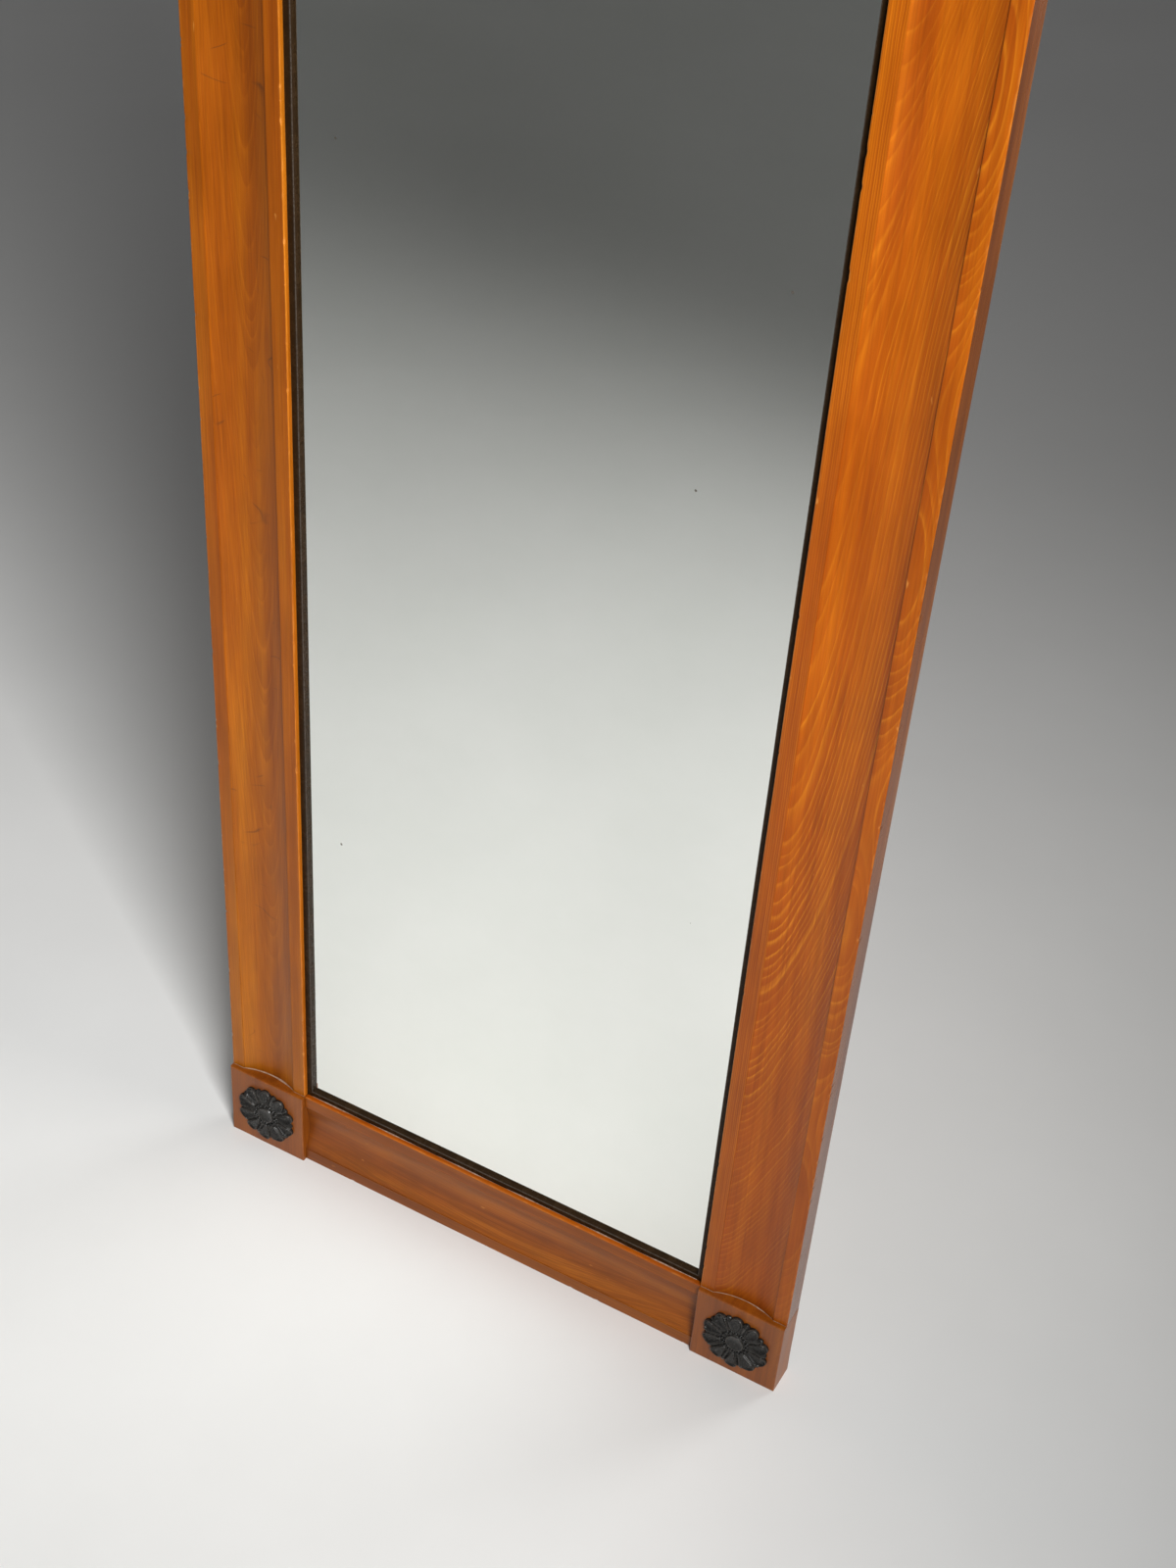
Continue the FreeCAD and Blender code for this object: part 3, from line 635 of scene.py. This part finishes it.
left_x = -HALF_WIDTH
right_x = HALF_WIDTH
left_woods = [
    wood("left side", "Z", (-FAR, 0.0), 2.2 * MM, HONEY, DULL_LINE, lines=0.3, side=True),
    wood("left outer band", "Z", (left_x - FAR, 0.0), 1.9 * MM, HONEY, DULL_LINE, lines=0.35, ends=LEFT_PAINTED_LIGHT),
    wood("left cove", "Z", (left_x + 0.05, 0.09), 0.62 * MM, HONEY, GOLD_LINE, lines=0.26, checks=0.6,
         tilt=0.02, warp=5 * MM, ends=LEFT_PAINTED_LIGHT),
    wood("left inner band", "Z", (left_x + INNER_MIDDLE - FAR, 0.0), 1.7 * MM, HONEY, DULL_LINE, lines=0.35,
         dark=0.6, warp=5 * MM, ends=LEFT_PAINTED_LIGHT),
    sight_upright,
    back_upright]
right_woods = [
    # The right side gets darker tones than the front, a painted shade
    wood("right side", "Z", (-FAR, 0.0), 1.9 * MM, PAINTED_SHADE_UMBER, DULL_LINE, lines=0.25, polish=0.24, side=True,
         ior=1.5),
    wood("right outer band", "Z", (right_x - OUTER_MIDDLE - 8 * MM, 0.1), 0.8 * MM, AMBER, GOLD_LINE,
         lines=0.5, tilt=0.02, sway=(0.0025, 0.33, 0.9), warp=10 * MM, even=0.35, ends=RIGHT_PAINTED_SHADE),
    wood("right cove", "Z", (right_x - COVE_IN - 2 * MM, 21 * MM), 2.9 * MM, AMBER, GOLD_LINE, lines=0.66,
         taper=0.21, sway=(-0.0407, 1.6, -0.39), warp=11 * MM, even=0.3, ends=RIGHT_PAINTED_SHADE),
    wood("right inner band", "Z", (right_x - BLOCK - FAR, 0.0), 1.8 * MM, AMBER, GOLD_LINE, lines=0.6,
         dark=0.9, warp=4 * MM, even=0.5, ends=RIGHT_PAINTED_SHADE),
    sight_upright,
    back_upright]
bottom_woods = [
    wood("bottom side", "X", (-FAR, 0.0), 2.0 * MM, BROWN, DULL_LINE, lines=0.3, side=True),
    wood("bottom outer band", "X", (-FAR, 0.0), 2.1 * MM, RUSSET, DULL_LINE, lines=0.3),
    # The bottom cove has a painted chatoyant sheen in its mottle
    wood("bottom cove", "X", (-0.05, 0.2), 0.9 * MM, BROWN, GOLD_LINE, lines=0.3, dark=0.6, chatoyant_sheen=0.1,
         tilt=0.012, sway=(0.006, 0.6, 1.2), warp=14 * MM),
    wood("bottom inner band", "X", (BLOCK + FAR, 0.0), 1.8 * MM, BROWN, GOLD_LINE, lines=0.35),
    sight_level,
    back_level]
top_woods = [
    wood("top side", "X", (-FAR, 0.0), 2.0 * MM, HONEY, DULL_LINE, lines=0.3, polish=0.62, side=True),
    wood("top outer band", "X", (HEIGHT + FAR, 0.0), 2.1 * MM, HONEY, DULL_LINE, lines=0.3),
    wood("top cove", "X", (HEIGHT + 0.05, 0.2), 0.9 * MM, AMBER, GOLD_LINE, lines=0.45, tilt=0.02,
         sway=(0.006, 0.7, 0.2), warp=14 * MM),
    wood("top inner band", "X", (HEIGHT - FAR, 0.0), 1.8 * MM, AMBER, GOLD_LINE, lines=0.4),
    sight_level,
    back_level]

# Stiles and rails: start, end, place of a point from (across, depth, along), seed, woods and number of nicks
bars = {
    "left_stile": (BLOCK, HEIGHT - BLOCK, lambda u, y, t: (u - HALF_WIDTH, y, t), 11, left_woods, 64),
    "right_stile": (BLOCK, HEIGHT - BLOCK, lambda u, y, t: (HALF_WIDTH - u, y, t), 23, right_woods, 34),
    "bottom_rail": (-SIGHT_HALF, SIGHT_HALF, lambda u, y, t: (t, y, u), 37, bottom_woods, 7),
    "top_rail": (-SIGHT_HALF, SIGHT_HALF, lambda u, y, t: (t, y, HEIGHT - u), 41, top_woods, 10),
}
for node, (start, end, place, seed, materials, nick_count) in bars.items():
    piece = bar(node + "_moulding", start, end, place, seed, materials, nick_count)
    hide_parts(node)

# Corner blocks, with loops at shares of the half width and of the flank, and a count of points for each side
BLOCK_EASE = 1.1 * MM
BLOCK_WEAR = 0.22
BLOCK_BACK_WEAR = 0.2
FACE_SHARES = (0.98, 0.8, 0.55, 0.3, 0.15, 0.08, 0.05)
FLANK_SHARES = (0.4, 0.7, 1.0)
SIDE_COUNTS = (22, 16, 3, 3, 16, 22)
CROWDING = 0.75


def square_loop(inset, y, notch):
    """Points round a block at one depth, closer near its corners; the notch is at the upper right."""
    low, high = inset, BLOCK - inset
    cut = high - notch
    corners = [(low, low), (high, low), (high, cut), (cut, cut), (cut, high), (low, high)]
    points = []
    for i, (a, steps) in enumerate(zip(corners, SIDE_COUNTS)):
        b = corners[(i + 1) % len(corners)]
        for step in range(steps):
            share = step / steps
            share = share - math.sin(2 * math.pi * share) / (2 * math.pi) * CROWDING
            points.append((a[0] + (b[0] - a[0]) * share, y, a[1] + (b[1] - a[1]) * share))
    return points


def corner_block(name, flip_x, flip_z, seed, material):
    """Square block with eased, slightly uneven front edges and the rebates in its inner back corner."""
    plan = [(share * BLOCK / 2, FRONT, 0, 0.0) for share in FACE_SHARES]
    for turn in EASE_TURNS:
        inset, sunk = BLOCK_EASE * (1 - math.sin(turn)), BLOCK_EASE * (1 - math.cos(turn))
        plan.append((inset, FRONT + sunk, 0, BLOCK_WEAR))
    plan += [(0, FRONT + BLOCK_EASE + LIP, 0, 0.0)]
    plan += [(0, FRONT + (SLIP_FRONT - FRONT) * share, 0, 0.0) for share in FLANK_SHARES]
    plan += [(0, SLIP_FRONT, GLASS_REBATE, 0.0), (0, BOARD_FRONT, GLASS_REBATE, 0.0)]
    plan += [(0, BOARD_FRONT, BOARD_REBATE, 0.0), (0, BACK, BOARD_REBATE, BLOCK_BACK_WEAR)]
    loops = np.array([square_loop(inset, y, notch) for inset, y, notch, _ in plan])
    worn = np.array([[wear] * loops.shape[1] for *_, wear in plan])
    loops += uneven(loops, *BLOCK_UNEVEN, seed * 5.3)
    loops[..., 2] = np.maximum(loops[..., 2], 0)
    loops[..., 0] = loops[..., 0] - HALF_WIDTH if not flip_x else HALF_WIDTH - loops[..., 0]
    if flip_z:
        loops[..., 2] = HEIGHT - loops[..., 2]
    piece = skin(name + "_eased", loops, np.zeros(loops.shape[1], int), [material, back_block],
                 {"worn": worn, "dirt_and_shade": np.zeros(worn.shape)}, caps=(0, 1))
    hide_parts(name)


corner_names = [("bottom_left", False, False), ("bottom_right", True, False), ("top_left", False, True),
                ("top_right", True, True)]
for i, (corner, flip_x, flip_z) in enumerate(corner_names):
    heart_x = (0.26 if flip_x else -0.26) + 0.012 * i
    material = wood("block " + corner.replace("_", " "), "Z", (heart_x, 0.12), 0.7 * MM, RUSSET, DULL_LINE,
                    lines=0.3, polish=0.55 if flip_z else 0.36, sway=(0.005, 0.16, 1.3 * i), warp=6 * MM,
                    ior=1.45)
    corner_block("corner_block_" + corner, flip_x, flip_z, 3 + 4 * i, material)

# Ebonised slips
# The slip's inner arris is painted paler, partly as wear and partly as a painted highlight
slip_black = ebonised("ebonised slip", 0.16, (0.016, 0.008, 0.003), (0.028, 0.014, 0.005), 0.7)
SLIP_ARRIS = 0.3 * MM
SLIP_LIP = 0.8 * MM
SLIP_STEP = 5 * MM
SLIP_WEAR_AND_HIGHLIGHT = 0.4
SLIP_SHARES = (0.0, 0.5, 0.8)


def slip(name, half_long, centre, outer, inner, place, seed):
    """Thin black bar with mitred ends and a rubbed inner arris, paler partly from wear and partly as a
    painted highlight; each point of its section is (u, y, wear).
    """
    width = inner - outer
    points = [(outer + width * share, SLIP_FRONT, 0.0) for share in SLIP_SHARES]
    sign = math.copysign(1.0, width)
    points.append((inner - sign * (SLIP_ARRIS + SLIP_LIP), SLIP_FRONT, 0.0))
    for turn in EASE_TURNS:
        points.append((inner - sign * SLIP_ARRIS * (1 - math.sin(turn)),
                       SLIP_FRONT + SLIP_ARRIS * (1 - math.cos(turn)), SLIP_WEAR_AND_HIGHLIGHT))
    flank = (SLIP_FRONT + SLIP_ARRIS + SLIP_LIP, (SLIP_FRONT + GLASS_FRONT) / 2, GLASS_FRONT)
    points += [(inner, y, 0.0) for y in flank]
    points += [(outer, GLASS_FRONT, 0.0)]
    shares = np.linspace(-1, 1, int(half_long / SLIP_STEP))
    loops = []
    for share in shares:
        loop = []
        for u, y, _ in points:
            reach = half_long - abs(u - outer)
            loop.append(place(centre + share * reach, y, u))
        loops.append(loop)
    loops = np.array(loops)
    loops += uneven(loops, *SLIP_UNEVEN, seed)
    worn = np.tile([w for *_, w in points], (len(shares), 1))
    piece = skin(name + "_polished", loops, None, [slip_black], {"worn": worn, "dirt_and_shade": np.zeros(worn.shape)})
    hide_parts(name)


def upright(t, y, u):
    """Place of a point of an upright slip."""
    return u, y, t


def level(t, y, u):
    """Place of a point of a level slip."""
    return t, y, u


slip_half_high = (slip_high.z - slip_low.z) / 2
bottom_slip_low, bottom_slip_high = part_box("slip_bottom")
slip_half_wide = (bottom_slip_high.x - bottom_slip_low.x) / 2
for side, name, seed in ((1, "slip_left", 2.0), (-1, "slip_right", 7.0)):
    slip(name, slip_half_high, HEIGHT / 2, side * slip_low.x, side * slip_high.x, upright, seed)
slip("slip_bottom", slip_half_wide, 0.0, bottom_slip_low.z, bottom_slip_high.z, level, 12.0)
slip("slip_top", slip_half_wide, 0.0, HEIGHT - bottom_slip_low.z, HEIGHT - bottom_slip_high.z, level, 17.0)

# Carved rosettes
carving_black = ebonised("ebonised carving", 0.5, (0.004, 0.0038, 0.0035), (0.011, 0.01, 0.009), 0.4)
ROSETTE = 34 * MM
CREST_RISE = 5.4 * MM
TIP_RISE = 2.7 * MM
HEART_RISE = 3.0 * MM
WEB_RISE = 1.9 * MM
PETALS = 10
PETAL_END = 6.3 * MM
PETAL_ROOT = 1.9 * MM
PETAL_RIM = 0.75 * MM
PETAL_HOLLOW = 3.3 * MM
ROOT_HOLLOW = 0.9 * MM
LEAF_END = 3.3 * MM
LEAF_SHORT = 1.8 * MM
LEAF_DROP = 0.8 * MM
LEAF_SLOPE = 1.7 * MM
BUTTON = 9.2 * MM
BUTTON_RISE = 3.8 * MM
BUTTON_RIM = 1.1 * MM
BUTTON_DISH = 1.3 * MM
BEADS = 16
BEAD = 1.85 * MM
BEAD_CIRCLE = BUTTON + 1.4 * MM + BEAD
WALL = 0.9 * MM
WEB_SHORT = 3 * MM
RIM_ROUND = 0.5 * MM
RIM_DROP = 0.35 * MM
LIP_ROUND = 0.4 * MM
LIP_DROP = 0.3 * MM
LEAST_RISE = 0.3 * MM
HUB = 0.02 * MM
TURN_POINTS = 480
RADIUS_POINTS = 104
PROBE_POINTS = 240

# How much the carved forms differ from one to the next
PETAL_SHIFT = math.radians(0.9)
PETAL_STRETCH = 0.25 * MM
PETAL_SPREAD = 0.025
LEAF_SHIFT = math.radians(0.8)
BEAD_SHIFT = 0.03


def drop_inside(a, b, near, far, near_radius, far_radius):
    """Distance inside a drop shape along +a: two round ends joined by straight sides."""
    span = far - near
    lean = (near_radius - far_radius) / span
    rise = math.sqrt(1 - lean * lean)
    side = np.abs(b)
    up = a - near
    along = -lean * side + rise * up
    root = np.hypot(side, up) - near_radius
    tip = np.hypot(side, up - span) - far_radius
    flank = side * rise + up * lean - near_radius
    return -np.where(along < 0, root, np.where(along > rise * span, tip, flank))


def carved_height(radius, turn, rng):
    """Height of the carving over its back, how worn and how dusty it is, and how far inside the outline."""
    near = BEAD_CIRCLE + BEAD + PETAL_ROOT
    far = ROSETTE - PETAL_END
    climb = (CREST_RISE - HEART_RISE) / (far - BEAD_CIRCLE)
    crown = np.where(radius < far, HEART_RISE + climb * (radius - BEAD_CIRCLE),
                     CREST_RISE - (CREST_RISE - TIP_RISE) * (radius - far) / (ROSETTE - far))
    on_web = radius < ROSETTE - WEB_SHORT
    top = np.where(on_web, WEB_RISE, 0.0)
    inside = np.where(radius < ROSETTE - 2 * WEB_SHORT, MM, -MM)
    worn = np.zeros(radius.shape)
    dusty_place = np.where(on_web, 0.7, 0.0)

    def lay(height, within, wear, dust):
        """Add a form with sloped walls where it stands higher than what is there."""
        nonlocal top, inside, worn, dusty_place
        share = np.clip(within / WALL + 0.5, 0, 1)
        wins = (share > 0.5) & (height > top)
        top = top + np.maximum(height - top, 0) * share * share * (3 - 2 * share)
        worn = np.where(wins, wear, worn)
        dusty_place = np.where(wins, dust, dusty_place)
        inside = np.maximum(inside, within)

    for i in range(PETALS):
        shift = rng.normal(0, PETAL_SHIFT)
        stretch = rng.normal(0, PETAL_STRETCH)
        wide = rng.normal(1, PETAL_SPREAD)
        angle = turn - 2 * math.pi * i / PETALS - math.pi / 2 - shift
        a, b = radius * np.cos(angle), radius * np.sin(angle) / wide
        within = drop_inside(a, b, near, far + stretch, PETAL_ROOT, PETAL_END)
        share = np.clip((a - near) / (far - near), 0, 1)
        half = PETAL_ROOT + (PETAL_END - PETAL_ROOT) * share
        bowl = np.clip((within - PETAL_RIM) / np.maximum(half - PETAL_RIM, 0.2 * MM), 0, 1)
        bowl = 1 - (1 - bowl) ** 2.6
        depth = ROOT_HOLLOW + (PETAL_HOLLOW - ROOT_HOLLOW) * share
        rim = RIM_DROP * (1 - np.clip(within / RIM_ROUND, 0, 1)) ** 2
        wear = np.clip(1 - np.abs(within - 0.55 * PETAL_RIM) / (0.6 * PETAL_RIM), 0, 1)
        lay(np.where(a > 0, crown - depth * bowl - rim, -1), within, wear, 0.35 * bowl)
    for i in range(PETALS):
        angle = turn - 2 * math.pi * (i + 0.5) / PETALS - math.pi / 2 - rng.normal(0, LEAF_SHIFT)
        a, b = radius * np.cos(angle), radius * np.sin(angle)
        leaf_far = ROSETTE - LEAF_SHORT - LEAF_END
        within = drop_inside(a, b, near, leaf_far, PETAL_ROOT, LEAF_END)
        ridge = crown - LEAF_DROP - LEAF_SLOPE * np.abs(b) / LEAF_END
        wear = np.clip(1 - np.abs(b) / (0.45 * MM), 0, 1) * 0.8
        lay(np.where(a > 0, ridge, -1), within, wear, 0.3)
    for i in range(BEADS):
        angle = turn - 2 * math.pi * (i + rng.normal(0, BEAD_SHIFT)) / BEADS
        away = np.hypot(radius * np.cos(angle) - BEAD_CIRCLE, radius * np.sin(angle))
        ball = WEB_RISE + 0.35 * BEAD + np.sqrt(np.clip(BEAD ** 2 - away ** 2, 0, None))
        lay(ball, BEAD - away, np.clip(1 - away / (0.6 * BEAD), 0, 1) * 0.7, 0.0)
    rim_in = BUTTON - BUTTON_RIM
    dish = BUTTON_DISH * np.clip(1 - (radius / rim_in) ** 2, 0, 1)
    lip = LIP_DROP * np.clip(1 - (BUTTON - radius) / LIP_ROUND, 0, 1) ** 2
    wear = np.clip(1 - np.abs(radius - BUTTON + 0.6 * BUTTON_RIM) / (0.6 * BUTTON_RIM), 0, 1)
    lay(BUTTON_RISE - dish - lip, BUTTON - radius, wear, 0.25)
    return top, worn, dusty_place, inside


def rosette(name, seed):
    """Carved rosette whose surface is worked out over a fan of rays, closed down to the block."""
    low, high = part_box(name)
    centre_x, centre_z = (low.x + high.x) / 2, (low.z + high.z) / 2
    turns = np.linspace(0, 2 * math.pi, TURN_POINTS, endpoint=False)
    probe = np.linspace(0.5 * ROSETTE, 1.04 * ROSETTE, PROBE_POINTS)[:, None] + 0 * turns
    *_, inside = carved_height(probe, turns + 0 * probe, np.random.default_rng(seed))
    reach = np.where(inside > 0, probe, 0).max(axis=0)
    shares = np.linspace(0, 1, RADIUS_POINTS) ** 0.85
    radius = np.maximum(shares[:, None] * reach, HUB)
    turn = turns + 0 * radius
    height, worn, dust, _ = carved_height(radius, turn, np.random.default_rng(seed))
    height = np.maximum(height, LEAST_RISE)
    radius = np.vstack([radius, reach, reach * 0.6, reach * 0.0 + HUB])
    turn = np.vstack([turn, turns, turns, turns])
    zero = np.zeros((3, TURN_POINTS))
    height = np.vstack([height, zero])
    loops = np.stack([centre_x + radius * np.cos(turn), FRONT - height, centre_z + radius * np.sin(turn)],
                     axis=-1)
    loops += uneven(loops, *CARVING_UNEVEN, seed * 1.9)
    piece = skin(name + "_carving", loops, None, [carving_black],
                 {"worn": np.vstack([worn, zero]), "dirt_and_shade": np.vstack([dust, zero])}, sharp=48)
    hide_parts(name)


for i, (corner, _, _) in enumerate(corner_names):
    rosette("rosette_" + corner, 5 + 8 * i)

# Dust and old wax in the corners where the stiles stand on the blocks, and along the bottom slip
dust = dusty("dust and old wax")
DUST_SUNK = 0.25 * MM
DUST_INSET = 0.6 * MM
LEDGE_INSET = 6 * MM
STILE_DUST_POINTS = 140
LEDGE_DUST_POINTS = 220
UP = np.array((0.0, 0.0, 1.0))
OUT = np.array((0.0, -1.0, 0.0))

# Share and length of the waves in a dust line: two in its width and one in its height
DUST_WAVES = ((0.14, 8 * MM), (0.08, 3.1 * MM), (0.12, 6 * MM))


def dust_line(name, path, widths, seed):
    """Uneven little fillet of dust along a path, between a ledge and the face that rises from it."""
    rng = np.random.default_rng(seed)
    path = np.array(path)
    along = np.concatenate([[0], np.cumsum(np.linalg.norm(np.diff(path, axis=0), axis=1))])
    phases = rng.uniform(0, 2 * math.pi, len(DUST_WAVES))
    waves = [share * np.sin(along / length + phase) for (share, length), phase in zip(DUST_WAVES, phases)]
    wide = widths * (1 + waves[0] + waves[1])
    tall = wide * (1 + waves[2])
    loops = []
    for here, w, t in zip(path - (UP + OUT) * DUST_SUNK, wide, tall):
        loops.append([here, here + UP * (t + DUST_SUNK), here + UP * t * 0.45 + OUT * w * 0.55,
                      here + OUT * (w + DUST_SUNK)])
    skin(name, loops, None, [dust], sharp=60)


section_points, section_zones, _, _ = rounded_outline(moulding_corners())
first_zone, last_zone = ZONES.index("outer band"), ZONES.index("inner band")
front_run = section_points[(section_zones >= first_zone) & (section_zones <= last_zone)]
for side, name, fill, seed in ((-1, "dust_line_left", 1.0, 101), (1, "dust_line_right", 0.72, 131)):
    across = np.linspace(DUST_INSET, BLOCK - DUST_INSET, STILE_DUST_POINTS)
    depths = np.interp(across, front_run[:, 0], front_run[:, 1])
    in_cove = np.clip((depths - FACE) / COVE_SAG, 0, 1)
    path = [(side * (HALF_WIDTH - u), y, BLOCK) for u, y in zip(across, depths)]
    dust_line(name, path, (0.6 + 0.8 * in_cove) * fill * MM, seed)
ledge = np.linspace(-SIGHT_HALF + LEDGE_INSET, SIGHT_HALF - LEDGE_INSET, LEDGE_DUST_POINTS)
dust_line("dust_line_ledge", [(x, SLIP_FRONT, BLOCK) for x in ledge],
          (0.5 + 0.6 * np.sin(ledge * 41) ** 2) * MM, 151)

# Finishes of the pieces that stay as the frame gives them
PINE_LIGHT = (0.52, 0.32, 0.145)
PINE_DARK = (0.27, 0.125, 0.045)
PINE_RING = 4.2 * MM
EDGE_EASE = 0.4 * MM

# Each board's pith and the phase of its sway
boards = {"backboard_left": ((-0.16, 0.052), 0.3), "backboard_middle": ((0.03, 0.075), 1.9),
          "backboard_right": ((0.12, 0.046), 4.1)}
pines = {}
for board, (pith, phase) in boards.items():
    pines[board] = raw_wood(board.replace("_", " ") + " pine", "Z", PINE_LIGHT, PINE_DARK, pith, PINE_RING,
                            rings=0.62, sway=(0.012, 1.1, phase), warp=12 * MM)
beech = raw_wood("dowels and glue blocks", "X", (0.55, 0.38, 0.22), (0.4, 0.25, 0.13))
steel = aged_steel("aged steel", (0.27, 0.25, 0.225), (0.42, 0.4, 0.37), 0.7)
screw_steel = aged_steel("screw steel", (0.52, 0.5, 0.46), (0.66, 0.64, 0.6), 0.35)
glass_low, glass_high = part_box("mirror_glass")
silver = silvered("silvered glass", glass_low, glass_high)
kept = {**pines, "backboard_screws": screw_steel, "stile_dowels": beech, "rail_dowels": beech,
        "glass_wedges": beech, "mirror_glass": silver,
        "hanger_strap_left": steel, "hanger_strap_right": steel,
        "hanger_ring_left": steel, "hanger_ring_right": steel, "hanger_screws": screw_steel}
for node, material in kept.items():
    nodes[node].data.materials.clear()
    nodes[node].data.materials.append(material)
for node in (*boards, "hanger_strap_left", "hanger_strap_right"):
    ease = nodes[node].modifiers.new("eased edges", "BEVEL")
    ease.width = EDGE_EASE
    ease.segments = 2
    ease.limit_method = "ANGLE"


# Floor, light and camera
def floor_material():
    """Plain pale floor, almost even."""
    shader = Shader("pale floor")
    where = shader.place()
    cloud = shader.noise(where, (2.2, 2.2, 2.2), detail=5, roughness=0.6)
    colour = shader.ramp(cloud, [(0.3, (0.8, 0.8, 0.785)), (0.7, (0.84, 0.84, 0.825))])
    return shader.finish(colour, shader.ramp(cloud, [(0.3, 0.5), (0.7, 0.62)]))


FLOOR_HALF = 14.0
floor_mesh = bpy.data.meshes.new("floor")
floor_corners = [(x * FLOOR_HALF, y * FLOOR_HALF, 0) for x, y in ((-1, -1), (1, -1), (1, 1), (-1, 1))]
floor_mesh.from_pydata(floor_corners, [], [(0, 1, 2, 3)])
floor_mesh.materials.append(floor_material())
floor = bpy.data.objects.new("floor", floor_mesh)
bpy.context.scene.collection.objects.link(floor)


def area_light(name, place, target, size, power, spread):
    """Square soft light aimed at a point, with a grid that narrows its beam to a spread in degrees."""
    lamp = bpy.data.lights.new(name, "AREA")
    lamp.size = size
    lamp.energy = power
    lamp.spread = math.radians(spread)
    holder = bpy.data.objects.new(name, lamp)
    holder.location = place
    holder.rotation_euler = (Vector(target) - Vector(place)).to_track_quat("-Z", "Y").to_euler()
    bpy.context.scene.collection.objects.link(holder)


area_light("key", place=(1.46, -1.57, 2.15), target=(-0.45, -0.28, 0.7), size=0.8, power=23, spread=76)
area_light("back fill", place=(1.6, 2.6, 1.4), target=(0.0, 0.0, 0.85), size=1.2, power=6, spread=60)

AMBIENT = 0.085
BACKDROP = 0.35


def studio_world():
    """White world that lights the scene at AMBIENT, and is seen and mirrored at BACKDROP."""
    world = bpy.data.worlds.new("studio")
    world.use_nodes = True
    tree = world.node_tree
    rays = tree.nodes.new("ShaderNodeLightPath").outputs
    seen = rays["Is Camera Ray"]
    for kind in ("Is Glossy Ray", "Is Transmission Ray"):
        either = tree.nodes.new("ShaderNodeMath")
        either.operation = "MAXIMUM"
        tree.links.new(seen, either.inputs[0])
        tree.links.new(rays[kind], either.inputs[1])
        seen = either.outputs[0]
    strength = tree.nodes.new("ShaderNodeMath")
    strength.operation = "MULTIPLY_ADD"
    tree.links.new(seen, strength.inputs[0])
    strength.inputs[1].default_value = BACKDROP - AMBIENT
    strength.inputs[2].default_value = AMBIENT
    background = tree.nodes["Background"]
    background.inputs["Color"].default_value = (1, 1, 1, 1)
    tree.links.new(strength.outputs[0], background.inputs["Strength"])
    return world


bpy.context.scene.world = studio_world()

camera_data = bpy.data.cameras.new("camera")
camera_data.lens = CAMERA_LENS
camera = bpy.data.objects.new("camera", camera_data)
forward = Vector((-math.sin(CAMERA_YAW) * math.cos(CAMERA_PITCH),
                  math.cos(CAMERA_YAW) * math.cos(CAMERA_PITCH),
                  -math.sin(CAMERA_PITCH)))
level_right = Vector((math.cos(CAMERA_YAW), math.sin(CAMERA_YAW), 0))
down = forward.cross(level_right)
picture_right = math.cos(CAMERA_ROLL) * level_right + math.sin(CAMERA_ROLL) * down
picture_down = -math.sin(CAMERA_ROLL) * level_right + math.cos(CAMERA_ROLL) * down
turn = Matrix((picture_right, -picture_down, -forward)).transposed()
camera.matrix_world = Matrix.Translation(CAMERA_PLACE) @ turn.to_4x4()
bpy.context.scene.collection.objects.link(camera)
bpy.context.scene.camera = camera
bpy.context.scene.view_settings.view_transform = "Standard"
